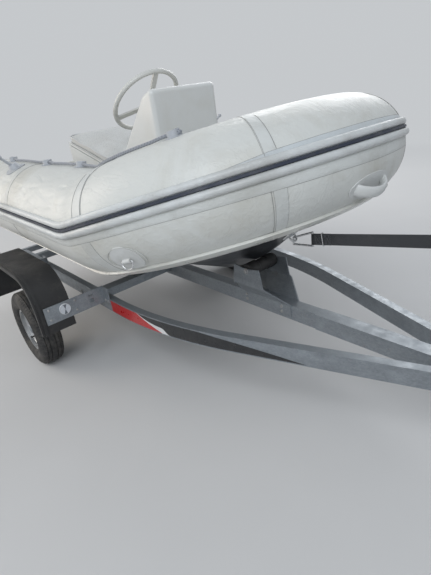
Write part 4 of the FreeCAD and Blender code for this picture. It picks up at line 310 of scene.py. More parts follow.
MATERIALS = {name: make(name, *values) for make, rows in (
    (make_tube_skin, (
        ("tube_white", (0.62, 0.63, 0.605), (0.50, 0.49, 0.44)),
        ("strake_white", (0.58, 0.60, 0.60), (0.38, 0.38, 0.36), 0.36),
        ("tape_white", (0.60, 0.615, 0.60), (0.43, 0.43, 0.40), 0.40),
        ("tape_cool", (0.54, 0.575, 0.59), (0.40, 0.41, 0.41), 0.40))),
    (make_gelcoat, (
        ("gelcoat_pale", (0.66, 0.66, 0.62), (0.42, 0.39, 0.33)),
        ("gelcoat_console", (0.66, 0.67, 0.66), (0.58, 0.57, 0.53), 0.3),
        ("hull_dark", (0.012, 0.014, 0.018), (0.05, 0.05, 0.05), 0.3))),
    (make_deck_skin, (("gelcoat_deck",),)),
    (make_plastic, (
        ("pad_plastic", (0.55, 0.55, 0.53), 0.5),
        ("helm_plastic", (0.62, 0.62, 0.59), 0.30, 900.0, (0.52, 0.50, 0.45)),
        ("seam_grime", (0.27, 0.27, 0.26), 0.6, 900.0, (0.18, 0.17, 0.15)),
        ("fitting_white", (0.62, 0.63, 0.62), 0.42, 900.0, (0.42, 0.41, 0.38)),
        ("fitting_grey", (0.44, 0.46, 0.49), 0.45, 800.0, (0.30, 0.29, 0.27)),
        ("guard_black", (0.020, 0.020, 0.021), 0.55, 350.0, (0.11, 0.10, 0.09)),
        ("cushion_trim", (0.56, 0.57, 0.57), 0.45, 900.0, (0.38, 0.37, 0.34)),
        ("grip_black", (0.022, 0.022, 0.024), 0.5, 500.0, (0.10, 0.095, 0.09)),
        ("thread_grey", (0.20, 0.21, 0.23), 0.8, 900.0, (0.15, 0.14, 0.13)))),
    (make_rubber, (
        ("strake_dark", (0.016, 0.024, 0.045), (0.08, 0.08, 0.08), 0.5),
        ("roller_black", (0.016, 0.016, 0.017), (0.09, 0.085, 0.08), 0.6),
        ("bunk_carpet", (0.03, 0.03, 0.033), (0.12, 0.11, 0.10), 0.95),
        ("tyre_black",))),
    (make_galvanised, (("galvanised",), ("zinc_plated", (0.40, 0.40, 0.40), 0.8))),
    (make_metal, (("stainless", (0.62, 0.63, 0.64), 0.18), ("rim_silver", (0.50, 0.51, 0.52), 0.35))),
    (make_rope, (("rope_grey",),)),
    (make_webbing, (("strap_black",),)),
    (make_vinyl, (("cushion_vinyl",),)),
    (make_lens, (
        ("reflector_white", (0.78, 0.80, 0.83)), ("lamp_red", (0.42, 0.012, 0.012)),
        ("lamp_amber", (0.62, 0.20, 0.015)), ("lens_clear", (0.74, 0.78, 0.84)),
        ("lens_dim", (0.20, 0.22, 0.25)))),
    (make_film, (
        ("decal_red", (0.46, 0.018, 0.020)), ("decal_white", (0.66, 0.67, 0.67)),
        ("decal_black", (0.014, 0.015, 0.017)))),
) for name, *values in rows}

slots = {row["node"]: row["material_slot"] for row in frame["record"]["subparts"]}
for name, thing in frame["nodes"].items():
    if not thing.material_slots:
        thing.data.materials.append(None)
    for slot in thing.material_slots:
        slot.link = "OBJECT"
        slot.material = MATERIALS[slots[name]]


# ---- shape builders

def sideways(axis):
    """Two directions square to an axis and to each other."""
    side = axis.cross(Z if abs(axis.z) < 0.9 else X).normalized()
    return side, axis.cross(side)


def circle(count, start=0.0):
    """Cosine and sine of evenly spaced bearings."""
    bearings = [start + 2 * math.pi * step / count for step in range(count)]
    return [(math.cos(bearing), math.sin(bearing)) for bearing in bearings]


def smooth_share(share):
    """A share held between 0 and 1, easing in and out."""
    share = min(max(share, 0.0), 1.0)
    return share * share * (3 - 2 * share)


def carried(points, closed=False):
    """Point, heading and two cross directions along a path, carried without twist."""
    points = [Vector(point) for point in points]
    stations, normal = [], None
    for index, point in enumerate(points):
        before = points[index - 1] if closed or index else point
        after = points[(index + 1) % len(points)] if closed or index < len(points) - 1 else point
        heading = (after - before).normalized()
        if normal is None:
            normal = sideways(heading)[0]
        normal = (normal - heading * normal.dot(heading)).normalized()
        stations.append((point, heading, normal, heading.cross(normal)))
    return stations


class Build:
    """Points and faces gathered into one piece."""

    def __init__(self):
        self.points, self.faces = [], []

    def add(self, points, faces):
        offset = len(self.points)
        self.points += [tuple(point) for point in points]
        self.faces += [tuple(index + offset for index in face) for face in faces]
        return self

    def grid(self, rows, closed_rows=False, closed_columns=False):
        """Quads between rows of points of equal length."""
        count, width = len(rows), len(rows[0])
        faces = []
        for row, column in product(range(count if closed_rows else count - 1),
                                   range(width if closed_columns else width - 1)):
            here, there = row * width, (row + 1) % count * width
            beside = (column + 1) % width
            faces.append((here + column, here + beside, there + beside, there + column))
        return self.add([point for row in rows for point in row], faces)

    def loft(self, rows):
        """A tube through closed rows, with flat ends."""
        self.grid(rows, closed_columns=True)
        width, end = len(rows[0]), len(self.points)
        first = end - width * len(rows)
        self.faces += [tuple(range(first + width - 1, first - 1, -1)), tuple(range(end - width, end))]
        return self

    def turned(self, origin, axis, profile, segments=24, start=0.0):
        """A profile of (radius, height) turned about an axis, with flat ends."""
        axis = Vector(axis).normalized()
        side, across = sideways(axis)
        return self.loft([[Vector(origin) + axis * height + side * (radius * along) + across * (radius * over)
                           for along, over in circle(segments, start)] for radius, height in profile])

    def bolt(self, origin, axis, size=0.0065, washer=True, thread=0.0):
        """A washer, a chamfered hexagon head of that half width, and a thread's end over it."""
        origin = Vector(origin)
        base = 0.0
        if washer:
            rim = size * 1.35
            self.turned(origin, axis, ((rim, -0.001), (rim, 0.0014), (rim - 0.0004, 0.0018)), 20)
            base = 0.0018
        corner = size / math.cos(math.pi / 6)
        top = base + size * 0.75
        turn = random.Random(round(origin.x * 1e4) + round(origin.y * 1e3)).uniform(0, 1)
        self.turned(origin, axis, ((corner, base - 0.0004), (corner, top - size * 0.14), (size * 0.90, top)),
                    6, turn)
        if thread:
            radius = size * 0.56
            self.turned(origin, axis, ((radius, top - 0.001), (radius, top + thread - 0.001),
                                       (radius * 0.8, top + thread)), 14)

    def rod(self, points, radius, segments=14, closed=False):
        """A round bar along points, with rounded ends where it is open."""
        stations = carried(points, closed)

        def ring(station, scale=1.0, shift=0.0):
            point, heading, normal, across = station
            return [point + heading * (radius * shift) + (normal * along + across * over) * radius * scale
                    for along, over in circle(segments)]

        rings = [ring(station) for station in stations]
        if closed:
            return self.grid(rings, closed_rows=True, closed_columns=True)
        first, last = stations[0], stations[-1]
        return self.loft([ring(first, 0.3, -0.55), ring(first, 0.8, -0.35), *rings,
                          ring(last, 0.8, 0.35), ring(last, 0.3, 0.55)])

    def piece(self, name, material, body="root", sharp=38.0, uvs=None):
        mesh = bpy.data.meshes.new(name)
        mesh.from_pydata(self.points, [], self.faces)
        if uvs:
            layer = mesh.uv_layers.new(name="UVMap")
            for loop in mesh.loops:
                layer.data[loop.index].uv = uvs[loop.vertex_index]
        mesh.validate()
        mesh.shade_smooth()
        mesh.set_sharp_from_angle(angle=math.radians(sharp))
        mesh.materials.append(MATERIALS[material])
        thing = placed(name, mesh)
        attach(thing, body)
        return thing


def placed(name, data):
    """A new object in the scene."""
    thing = bpy.data.objects.new(name, data)
    bpy.context.scene.collection.objects.link(thing)
    return thing


def bevelled_box(low, high, border):
    """A box between two corners with its edges cut back."""
    mesh = bmesh.new()
    bmesh.ops.create_cube(mesh, size=1.0)
    for vertex in mesh.verts:
        vertex.co = Vector([(a + b) / 2 + c * (b - a) for a, b, c in zip(low, high, vertex.co)])
    bmesh.ops.bevel(mesh, geom=mesh.edges[:], offset=border, segments=3, profile=0.5, affect="EDGES")
    mesh.verts.index_update()
    box = Build().add([vertex.co for vertex in mesh.verts],
                      [[vertex.index for vertex in face.verts] for face in mesh.faces])
    mesh.free()
    return box


# ---- the collar's shape: a tube that runs straight, rises over the bow and closes round the nose

AXLE = -0.796
COLLAR_RADIUS = 0.222
COLLAR_HALF = 0.642
COLLAR_HEIGHT = 0.992
COLLAR_STERN = AXLE - 1.300
SHEER_STATION = AXLE + 0.921
SHEER = math.radians(14.5)
SHEER_BEND = 0.480
SHOULDER_LEAD = 0.010
SHOULDER_RADIUS = 0.515
SHOULDER = math.radians(22.5)
NOSE_RADIUS = (COLLAR_HALF - SHOULDER_RADIUS * (1 - math.cos(SHOULDER))) / math.cos(SHOULDER)
RUNS = (
    ("straight", SHEER_STATION - SHEER_BEND * math.tan(SHEER / 2) - COLLAR_STERN, 0),
    ("rising", SHEER_BEND * SHEER, SHEER_BEND),
    ("straight", SHOULDER_LEAD, 0),
    ("turning", SHOULDER_RADIUS * SHOULDER, SHOULDER_RADIUS),
    ("turning", NOSE_RADIUS * (math.pi / 2 - SHOULDER), NOSE_RADIUS),
)
HALF_LENGTH = sum(run[1] for run in RUNS)
LENGTH = 2 * HALF_LENGTH


def collar_frame(distance):
    """Centre, heading, outboard and upward, at a distance from the starboard stern round the bow."""
    port = distance > HALF_LENGTH
    left = LENGTH - distance if port else distance
    centre = Vector((COLLAR_STERN, -COLLAR_HALF, COLLAR_HEIGHT))
    heading, inboard, upward = X, Y, Z
    for kind, length, radius in RUNS:
        step = min(left, length)
        left -= step
        if kind == "straight":
            centre = centre + heading * step
            continue
        side = upward if kind == "rising" else inboard
        sine, cosine = math.sin(step / radius), math.cos(step / radius)
        centre = centre + heading * (radius * sine) + side * (radius * (1 - cosine))
        heading, bent = heading * cosine + side * sine, side * cosine - heading * sine
        if kind == "rising":
            upward = bent
        else:
            inboard = bent
        if left <= 0:
            break
    outboard = -inboard
    if port:
        centre, outboard, upward = [Vector((v.x, -v.y, v.z)) for v in (centre, outboard, upward)]
        heading = Vector((-heading.x, heading.y, -heading.z))
    return centre, heading, outboard, upward


def on_skin(distance, angle, lift=0.0):
    """A point at a lift over the collar's skin; the angle runs from outboard towards up."""
    centre, heading, outboard, upward = collar_frame(distance)
    turned = math.radians(angle)
    return centre + (outboard * math.cos(turned) + upward * math.sin(turned)) * (COLLAR_RADIUS + lift)


# Sewn and glued joins of the collar's cloth: distance along it, half width of the tape.
SEAMS = []
for where, half in ((0.035, 0.024), (0.760, 0.020), (1.500, 0.020), (2.366, 0.024), (2.944, 0.018)):
    SEAMS += [(where, half), (LENGTH - where, half)]

# Creases of the cloth: distance, angle, length, slant and depth, on both sides.
CREASES = []
draw = random.Random(7)
for start, end, low, high, count in (
        (1.56, 2.28, 20, 66, 30), (1.96, 2.30, 60, 112, 26), (1.12, 1.46, 56, 110, 16),
        (0.84, 1.44, 20, 60, 18), (2.42, 2.86, 50, 100, 12), (0.10, 0.72, 20, 110, 18)):
    for _ in range(count):
        place, angle = draw.uniform(start, end), draw.uniform(low, high)
        along = draw.uniform(0.020, 0.065)
        slant = draw.uniform(-0.35, 0.35) if high < 70 else draw.uniform(0.7, 1.5)
        depth = draw.uniform(0.0014, 0.0042)
        CREASES += [(place, angle, along, slant, depth),
                    (LENGTH - place, angle + draw.uniform(-9, 9), along, -slant, depth)]
CREASE_WIDTH = 0.0085
PUCKER_REACH = 0.012


def sunk(distance, angles):
    """How far the skin lies in at a distance, by angle: pinched seams, their puckers, and creases."""
    depth = np.zeros(len(angles))
    for index, (where, half) in enumerate(SEAMS):
        away = max(0.0, abs(distance - where) - half)
        if away > 0.2:
            continue
        depth += 0.0012 * math.exp(-away / 0.03)
        phase = index * 1.7 + (3.1 if distance > where else 0.0)
        waves = sum(np.sin(np.radians(angles) * count + phase * lag) * share
                    for count, lag, share in ((17, 1.0, 0.6), (29, 2.3, 0.5), (41, 3.7, 0.4)))
        slack = 0.35 + 0.65 * np.clip(np.sin(np.radians(angles - 5)), 0, 1)
        reach = away / PUCKER_REACH
        depth += 0.0020 * np.clip(waves, 0, 2) * slack * reach * math.exp(1 - reach * 0.45) / 2.4
    for place, angle, along, slant, deep in CREASES:
        ahead = distance - place
        if abs(ahead) > along * 3:
            continue
        around = np.radians(angles - angle) * COLLAR_RADIUS
        turn = math.atan(slant)
        length = ahead * math.cos(turn) + around * math.sin(turn)
        width = -ahead * math.sin(turn) + around * math.cos(turn)
        depth += deep * np.exp(-(length / along) ** 2 - (width / CREASE_WIDTH) ** 2)
    return depth


# ---- collar: skin, glued tapes and seams

SKIN_SEGMENTS = 200
TAIL = (  # a cone end and its cap, as (distance past the tube's end, radius)
    (-0.2595, 0.060), (-0.2600, 0.066), (-0.2590, 0.0715), (-0.2560, 0.0745), (-0.2440, 0.0755),
    (-0.2400, 0.0765), (-0.2340, 0.0800), (-0.2250, 0.0856), (-0.1800, 0.1132), (-0.1200, 0.1503),
    (-0.0600, 0.1872), (-0.0200, 0.2108), (-0.0080, 0.2172), (-0.0020, 0.2198))


def skin_ring(distance, radii, shift=0.0):
    bearings = np.radians(np.arange(SKIN_SEGMENTS) * 360.0 / SKIN_SEGMENTS)
    centre, heading, outboard, upward = collar_frame(distance)
    ring = np.array(centre + heading * shift)
    ring = ring + np.outer(np.cos(bearings) * radii, outboard) + np.outer(np.sin(bearings) * radii, upward)
    return [tuple(point) for point in ring]


def make_collar_skin():
    """The whole air chamber, with its cone ends, finer than the solid and with its cloth's creases."""
    stations, place = [], 0.0
    while place < LENGTH:
        stations.append(place)
        nearest = min(abs(place - where) for where, _ in SEAMS)
        creased = any(abs(place - crease[0]) < crease[2] * 1.6 for crease in CREASES)
        place += 0.0085 if nearest < 0.07 else 0.017 if creased else 0.030
    stations.append(LENGTH)
    angles = np.arange(SKIN_SEGMENTS) * 360.0 / SKIN_SEGMENTS
    rows = [skin_ring(0.0, radius, shift) for shift, radius in TAIL]
    rows += [skin_ring(distance, COLLAR_RADIUS - sunk(distance, angles)) for distance in stations]
    rows += [skin_ring(LENGTH, radius, -shift) for shift, radius in reversed(TAIL)]
    build = Build().loft(rows)
    build.faces = [tuple(reversed(face)) for face in build.faces]
    return build.piece("collar_skin", "tube_white", sharp=50)


skin = make_collar_skin()
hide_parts("collar_tube")

BAND_LIFT = 0.0009
BAND_BORDER = 0.0025
EDGE_DEPTH = -0.003


def bordered(first, last, border, step):
    """Stations between two places, close together in a rounded border at each end."""
    count = max(2, math.ceil((last - first) / step))
    inner = [first + border + (last - first - 2 * border) * part / count for part in range(1, count)]
    return [first, first, first + border * 0.4, first + border, *inner,
            last - border, last - border * 0.4, last, last]


def skin_band(build, start, end, low, high):
    """A glued band between two distances and two angles, its edge sunk in the skin."""
    def rise(index, places):
        return (EDGE_DEPTH, 0.35, 0.85, 1.0)[min(index, len(places) - 1 - index, 3)]

    distances = bordered(start, end, BAND_BORDER, 0.020)
    angles = bordered(low, high, math.degrees(BAND_BORDER / COLLAR_RADIUS), 2.5)
    rows = []
    for row, distance in enumerate(distances):
        pinch = sunk(distance, np.array([90.0]))[0] * 0.4
        shares = [min(rise(row, distances), rise(column, angles)) for column in range(len(angles))]
        rows.append([on_skin(distance, angle, share if share < 0 else BAND_LIFT * share - pinch)
                     for angle, share in zip(angles, shares)])
    build.grid(rows)


def curved_band(build, edges):
    """A glued band that follows a lower and an upper edge given as (distance, low, high) stations."""
    section = ((0, EDGE_DEPTH), (0, 0.00032), (0.03, 0.0008), (0.35, 0.0008), (0.65, 0.0008), (0.97, 0.0008),
               (1, 0.00032), (1, EDGE_DEPTH))
    rows = []
    for first, second in zip(edges, edges[1:]):
        steps = max(2, math.ceil((second[0] - first[0]) / 0.02))
        for step in range(steps + (second is edges[-1])):
            distance, low, high = (a + (b - a) * (step / steps) for a, b in zip(first, second))
            rows.append([on_skin(distance, low + (high - low) * part, lift) for part, lift in section])
    build.grid(rows)


tapes = Build()
for where, half in SEAMS:
    # each tape runs round the tube and stops short of the rub strake
    for low, high in ((15.5, 240.0), (-118.0 if 0.1 < where < LENGTH - 0.1 else -60.0, -10.0)):
        skin_band(tapes, where - half, where + half, low, high)
tapes.piece("seam_tapes", "tape_white")


def mirrored(edges):
    return tuple((LENGTH - distance, low, high) for distance, low, high in reversed(edges))


ABOVE_AFT = ((0.020, 9.0, 13.0), (1.424, 9.0, 13.5), (2.000, 9.5, 14.5), (2.366, 9.5, 15.0), (2.800, 9.5, 15.0))
ABOVE_BOW = ((2.780, 9.5, 14.0), (2.944, 9.5, 19.0), (3.080, 9.5, 20.0), (HALF_LENGTH, 9.5, 20.5))
BELOW = ((0.020, -11.0, -4.0), (2.600, -11.0, -4.0), (3.000, -13.5, -4.0), (HALF_LENGTH, -15.0, -4.0))
for name, material, runs in (("bow_bands", "tape_cool", (ABOVE_BOW,)),
                             ("strake_bands", "tape_white", (ABOVE_AFT, BELOW))):
    bands = Build()
    for edges in runs:
        curved_band(bands, edges)
        curved_band(bands, mirrored(edges))
    bands.piece(name, material)

# dirt that gathers along the laps of the cloth, as fine dark lines
grime = Build()


def skin_line(start, end, lift):
    """A fine line over the skin between two places, given as (distance, angle)."""
    run = abs(end[0] - start[0]) + math.radians(abs(end[1] - start[1])) * COLLAR_RADIUS
    steps = max(3, int(run / 0.012))
    grime.rod([on_skin(start[0] + (end[0] - start[0]) * step / steps,
                       start[1] + (end[1] - start[1]) * step / steps, lift) for step in range(steps + 1)],
              0.0008, 6)


for edges, which in ((ABOVE_AFT, 2), (ABOVE_BOW, 2), (BELOW, 1)):
    for stations in (edges, mirrored(edges)):
        for first, second in zip(stations, stations[1:]):
            skin_line((first[0], first[which]), (second[0], second[which]), 0.0001)
for where, half in SEAMS:
    if 0.1 < where < LENGTH - 0.1:
        for edge, (low, high) in product((where - half, where + half), ((15.5, 150.0), (-95.0, -13.0))):
            skin_line((edge, low), (edge, high), -0.0006)
for where, low, high in ((2.344, 15, 65), (2.388, 14, 60), (2.928, 14, 64), (2.961, 20, 66), (2.920, -80, -12)):
    for distance in (where, LENGTH - where):
        skin_line((distance, low), (distance, high), 0.0009)
grime.piece("lap_lines", "seam_grime")

beads = Build()
PATCH_REACH, PATCH_ANGLE, BEAD_RADIUS = 0.790, -40, 0.0650
for place in (HALF_LENGTH - PATCH_REACH, HALF_LENGTH + PATCH_REACH):
    beads.rod([on_skin(place + BEAD_RADIUS * along,
                       PATCH_ANGLE + math.degrees(BEAD_RADIUS * around / COLLAR_RADIUS), 0.0028)
               for along, around in circle(72)], 0.0016, 8, closed=True)
beads.piece("lifting_patch_beads", "tape_white")


# ---- grab lines: braided rope through its holders, with a stopper knot at each end

HOLDERS = ((1.100, 92), (1.644, 92), (1.992, 98), (HALF_LENGTH - 0.562, 82))
LINE_RADIUS = 0.0065
HOLDER_LIFT = 0.0125
REST_LIFT = 0.0095
LINE_LEAD = 0.03465
ROPE_STEP = 0.0021
BRAID_PITCH = 0.0125


def line_route(side):
    """Points of a grab line: straight through its holders and resting on the collar between them."""
    points = [(HOLDERS[0][0] - LINE_LEAD, HOLDERS[0][1], HOLDER_LIFT)]
    for (near, near_angle), (far, far_angle) in zip(HOLDERS, HOLDERS[1:]):
        for share in (step / 26 for step in range(26)):
            distance = near + (far - near) * share
            rise = smooth_share(1 - (min(distance - near, far - distance) - 0.030) / 0.060)
            sway = math.sin(share * math.pi * 3 + near * 9) * 0.0035 * (1 - rise)
            angle = near_angle + (far_angle - near_angle) * share + math.degrees(sway / COLLAR_RADIUS)
            points.append((distance, angle, REST_LIFT + (HOLDER_LIFT - REST_LIFT) * rise))
    last, angle = HOLDERS[-1]
    points += [(last, angle, HOLDER_LIFT), (last + LINE_LEAD, angle, HOLDER_LIFT)]
    return [on_skin(distance if side < 0 else LENGTH - distance, angle, lift)
            for distance, angle, lift in points]


def smooth_path(points):
    """A Catmull-Rom path through points, resampled at an even step."""
    dense = []
    padded = [points[0] * 2 - points[1]] + points + [points[-1] * 2 - points[-2]]
    for a, b, c, d in zip(padded, padded[1:], padded[2:], padded[3:]):
        parts = max(4, int((c - b).length / 0.0015))
        for t in (part / parts for part in range(parts)):
            dense.append(0.5 * (b * 2 + (c - a) * t + (a * 2 - b * 5 + c * 4 - d) * t * t
                                + (b * 3 - a - c * 3 + d) * t ** 3))
    dense.append(points[-1])
    path, spare = [dense[0]], 0.0
    for before, after in zip(dense, dense[1:]):
        run = (after - before).length
        while spare + run >= ROPE_STEP:
            before = before.lerp(after, (ROPE_STEP - spare) / run)
            path.append(before)
            run, spare = (after - before).length, 0.0
        spare += run
    return path


def braided(build, path, radius, uvs, segments=20):
    """A rope along a path: strands that run each way round cross on its surface."""
    rows = []
    for index, (point, _, normal, across) in enumerate(carried(path)):
        run = index * ROPE_STEP
        lay = 2 * math.pi * run / BRAID_PITCH
        taper = min(1.0, 0.45 + min(index, len(path) - 1 - index) * 0.14)
        row = []
        for k, (along, over) in enumerate(circle(segments)):
            strand = 8 * math.pi * k / segments
            swell = max(math.sin(strand + lay), math.sin(strand - lay))
            row.append(point + (normal * along + across * over) * radius * taper * (0.965 + 0.05 * swell))
            uvs.append((run / (2 * math.pi * radius), k / segments))
        rows.append(row)
    build.loft(rows)


lines, line_uvs = Build(), []
for _, side in SIDES:
    path = smooth_path(line_route(side))
    braided(lines, path, LINE_RADIUS, line_uvs)
    for end, inward in ((path[0], path[12]), (path[-1], path[-13])):
        axis = (inward - end).normalized()
        first, second = sideways(axis)
        coil = [end + axis * (0.006 + 0.0075 * step / 18) + (first * along + second * over) * 0.0088
                for step, (along, over) in enumerate(circle(18) * 3)]
        braided(lines, smooth_path(coil), 0.0048, line_uvs, 12)
rope = lines.piece("grab_line_ropes", "rope_grey", sharp=180, uvs=line_uvs)
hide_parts("grab_lines")


# ---- seat cushion: a crowned pad with a piped seam, puffed by a cloth run

SEAT_SLOPE = math.radians(15)
CUSHION_LENGTH = 0.556
CUSHION_WIDTH = 0.496
CUSHION_TOP = 0.089
SEAM_HEIGHT = 0.040
SIDE_PULL = 0.022
CORNER = 0.052
LID_TOP = Vector((AXLE - 0.284, 0, 1.259 + 0.008 * math.tan(SEAT_SLOPE)))
SEAT_FORWARD = Vector((math.cos(SEAT_SLOPE), 0, -math.sin(SEAT_SLOPE)))
SEAT_UP = Vector((math.sin(SEAT_SLOPE), 0, math.cos(SEAT_SLOPE)))
FIRM_SEAM = 0.0085
CUSHION_SWELL = 0.010
GATHER = 0.0045


def seat_point(forward, port, up):
    """A point by its place along and across the cushion from the middle, and over the lid."""
    forward += CUSHION_LENGTH / 2 / math.cos(SEAT_SLOPE)
    return LID_TOP + SEAT_FORWARD * forward + Y * port + SEAT_UP * up


def rounded_loop(inset, count=176):
    """The cushion's outline drawn in by an inset, as (forward, port) pairs; its sides pull in a little."""
    half_a, half_b = CUSHION_LENGTH / 2 - inset, CUSHION_WIDTH / 2 - inset
    radius = max(0.004, min(CORNER, half_a * 0.9, half_b * 0.9) - inset * 0.15)
    a, b = half_a - radius, half_b - radius
    quarter = count // 8
    corners = ((a, b), (-a, b), (-a, -b), (a, -b))
    around = circle(quarter * 4)
    points = []
    for index, (x, y) in enumerate(corners):
        arc = [around[(index * quarter + step) % len(around)] for step in range(quarter + 1)]
        points += [(x + radius * along, y + radius * over) for along, over in arc[:-1]]
        first = Vector((x, y)) + Vector(arc[-1]) * radius
        last = Vector(corners[(index + 1) % 4]) + Vector(arc[-1]) * radius
        points += [tuple(first.lerp(last, step / quarter)) for step in range(quarter)]
    return [(a * (1 - SIDE_PULL * math.cos(b / half_b * math.pi / 2)),
             b * (1 - SIDE_PULL * math.cos(a / half_a * math.pi / 2))) for a, b in points]


def seam_height(forward, port):
    """The piped seam wavers a little round the pad."""
    return SEAM_HEIGHT + 0.0030 * math.sin(forward * 31 + 0.8) + 0.0022 * math.sin(port * 37 + 2.1)


def seam_loop(inset, count=176, lift=0.0):
    return [seat_point(a, b, seam_height(a, b) + lift) for a, b in rounded_loop(inset, count)]


def level(inset, height):
    return [seat_point(a, b, height) for a, b in rounded_loop(inset)]


def cushion_rows(shrink):
    """Closed rows of the pad from its underside up over its crown."""
    rows = [level(inset + shrink, height) for inset, height in (
        (0.20, 0.001), (0.10, 0.001), (0.030, 0.001), (0.012, 0.002), (0.008, 0.008), (0.007, 0.020),
        (0.0075, 0.032))]
    rows.append(seam_loop(0.010 + shrink))
    return rows + [level(inset + shrink, SEAM_HEIGHT + (CUSHION_TOP - SEAM_HEIGHT) * crown)
                   for inset, crown in ((0.018, 0.08), (0.030, 0.20), (0.050, 0.37), (0.080, 0.59),
                                        (0.120, 0.80), (0.165, 0.93), (0.205, 0.99), (0.232, 1.0))]


def applied(thing):
    """A thing's mesh with its modifiers applied."""
    return bpy.data.meshes.new_from_object(thing.evaluated_get(bpy.context.evaluated_depsgraph_get()))


def puff(pad, firm):
    """Blow the pad up by a cloth run that holds its firm points, and cap how far each point moves."""
    pad.vertex_groups.new(name="keep").add(firm, 1.0, "REPLACE")
    settings = pad.modifiers.new("puff", "CLOTH").settings
    for name, value in (("quality", 5), ("mass", 0.25), ("tension_stiffness", 12), ("compression_stiffness", 8),
                        ("shear_stiffness", 4), ("bending_stiffness", 0.4), ("use_pressure", True),
                        ("uniform_pressure_force", 4), ("vertex_group_mass", "keep")):
        setattr(settings, name, value)
    settings.effector_weights.gravity = 0
    pad.modifiers["puff"].collision_settings.use_collision = False
    start = [vertex.co.copy() for vertex in pad.data.vertices]
    frame_before = bpy.context.scene.frame_current
    for step in range(1, 21):
        bpy.context.scene.frame_set(step)
    pad.data = applied(pad)
    pad.modifiers.clear()
    pad.vertex_groups.clear()
    bpy.context.scene.frame_set(frame_before)
    for vertex, before in zip(pad.data.vertices, start):
        step = vertex.co - before
        vertex.co = before + step * min(1.0, CUSHION_SWELL / max(step.length, 1e-9))


def make_cushion():
    build = Build().loft(cushion_rows(0.002))
    mesh = bpy.data.meshes.new("cushion_form")
    mesh.from_pydata(build.points, [], build.faces)
    form = placed("cushion_form", mesh)
    remesh = form.modifiers.new("remesh", "REMESH")
    remesh.mode = "VOXEL"
    remesh.voxel_size = 0.0065
    pad = placed("cushion_pad", applied(form))
    bpy.data.objects.remove(form)
    outline = seam_loop(0.012)
    firm = [vertex.index for vertex in pad.data.vertices
            if (vertex.co - LID_TOP).dot(SEAT_UP) < 0.006
            or min((vertex.co - mark).length_squared for mark in outline) < FIRM_SEAM ** 2]
    puff(pad, firm)
    # small gathers where the cover is pulled into its seam
    for vertex in pad.data.vertices:
        offset = vertex.co - seat_point(0, 0, SEAM_HEIGHT)
        forward, port = offset.dot(SEAT_FORWARD), offset.y
        ahead, beside = CUSHION_LENGTH / 2 - abs(forward), CUSHION_WIDTH / 2 - abs(port)
        if min(ahead, beside) < 0.075 and offset.dot(SEAT_UP) > -0.02:
            along = port if ahead < beside else forward
            gather = noise.noise(Vector((along * 55, 3, 0))) + 0.5 * noise.noise(Vector((along * 120, 7, 0)))
            vertex.co -= SEAT_UP * (max(0.0, gather) * GATHER * math.exp(-min(ahead, beside) / 0.024))
    rounded = pad.modifiers.new("round", "SUBSURF")
    rounded.levels = rounded.render_levels = 1
    pad.data = applied(pad)
    pad.modifiers.clear()
    pad.data.materials.clear()
    pad.data.materials.append(MATERIALS["cushion_vinyl"])
    pad.data.shade_smooth()
    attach(pad, "lid")
    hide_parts("seat_cushion")


make_cushion()

piping = Build()
piping.rod(seam_loop(0.0045, 352, 0.001), 0.0042, 12, closed=True)
piping.rod(level(0.0060, 0.0050), 0.0030, 10, closed=True)
piping.piece("cushion_piping", "cushion_trim", "lid")

HELM_PIVOT = Vector((-0.3013, 0, 1.3201))
HELM_AXIS = Vector((-0.694658, 0, 0.71934))
helm_cap = Build().turned(HELM_PIVOT + HELM_AXIS * 0.1448, HELM_AXIS, (
    (0.0278, 0.0000), (0.0279, 0.0066), (0.0268, 0.0084), (0.0240, 0.0094), (0.0236, 0.0088), (0.0222, 0.0088),
    (0.0218, 0.0097), (0.0150, 0.0113), (0.0070, 0.0121), (0.0010, 0.0123)), 48)
helm_cap.piece("helm_cap", "helm_plastic", "helm_wheel")


# ---- road wheels: tyres with ribs and sipes, bolts, hub caps and valves

WHEEL_TRACK = 0.865
AXLE_HEIGHT = 0.243
TYRE_COLUMNS = 432
BLOCK_RADIUS, BLOCK_OFFSET, BLOCK_DEPTH = 0.224, 0.0487, 0.0030
SIPED_FROM, SIPED_TO, SIPE_DEPTH = 0.022, 0.037, 0.0022
BOLT_CIRCLE = 0.0425
VALVE_BEARING = math.radians(234)
# the tyre's section from bead to shoulder, as (radius, offset from the middle)
TYRE_SIDE = (
    (0.1275, 0.0466), (0.1384, 0.0468), (0.1386, 0.0526), (0.1396, 0.0550), (0.1420, 0.0578),
    (0.1448, 0.0606), (0.1468, 0.0634), (0.1484, 0.0646), (0.1500, 0.0640), (0.1506, 0.0632),
    (0.1530, 0.0645), (0.1590, 0.0672), (0.1650, 0.0694), (0.1654, 0.0702), (0.1668, 0.0706),
    (0.1674, 0.0702), (0.1740, 0.0716), (0.1820, 0.0724), (0.1880, 0.0725), (0.1940, 0.0722),
    (0.1946, 0.0728), (0.1966, 0.0726), (0.1972, 0.0718), (0.2040, 0.0708), (0.2110, 0.0690),
    (0.2170, 0.0668), (0.2215, 0.0650), (0.2255, 0.0632), (0.2290, 0.0610), (0.2325, 0.0580),
    (0.2350, 0.0552), (0.2372, 0.0520), (0.2388, 0.0488))


def tyre_half():
    """Half of the tyre's section from bead to crown, with two grooves in its tread."""
    rows = list(TYRE_SIDE)
    for middle, half, deep in ((0.0415, 0.0030, 0.0055), (0.0185, 0.0034, 0.0060)):
        crown = 0.2430 - 0.54 * middle ** 2
        cuts = ((0.0003, half + 0.0014), (0.0010, half), (deep, half * 0.55))
        rows += [(crown - depth, middle + away) for depth, away in cuts]
        rows += [(crown - depth, middle - away) for depth, away in reversed(cuts)]
    return rows + [(0.2429, 0.0080), (0.2430, 0.0)]


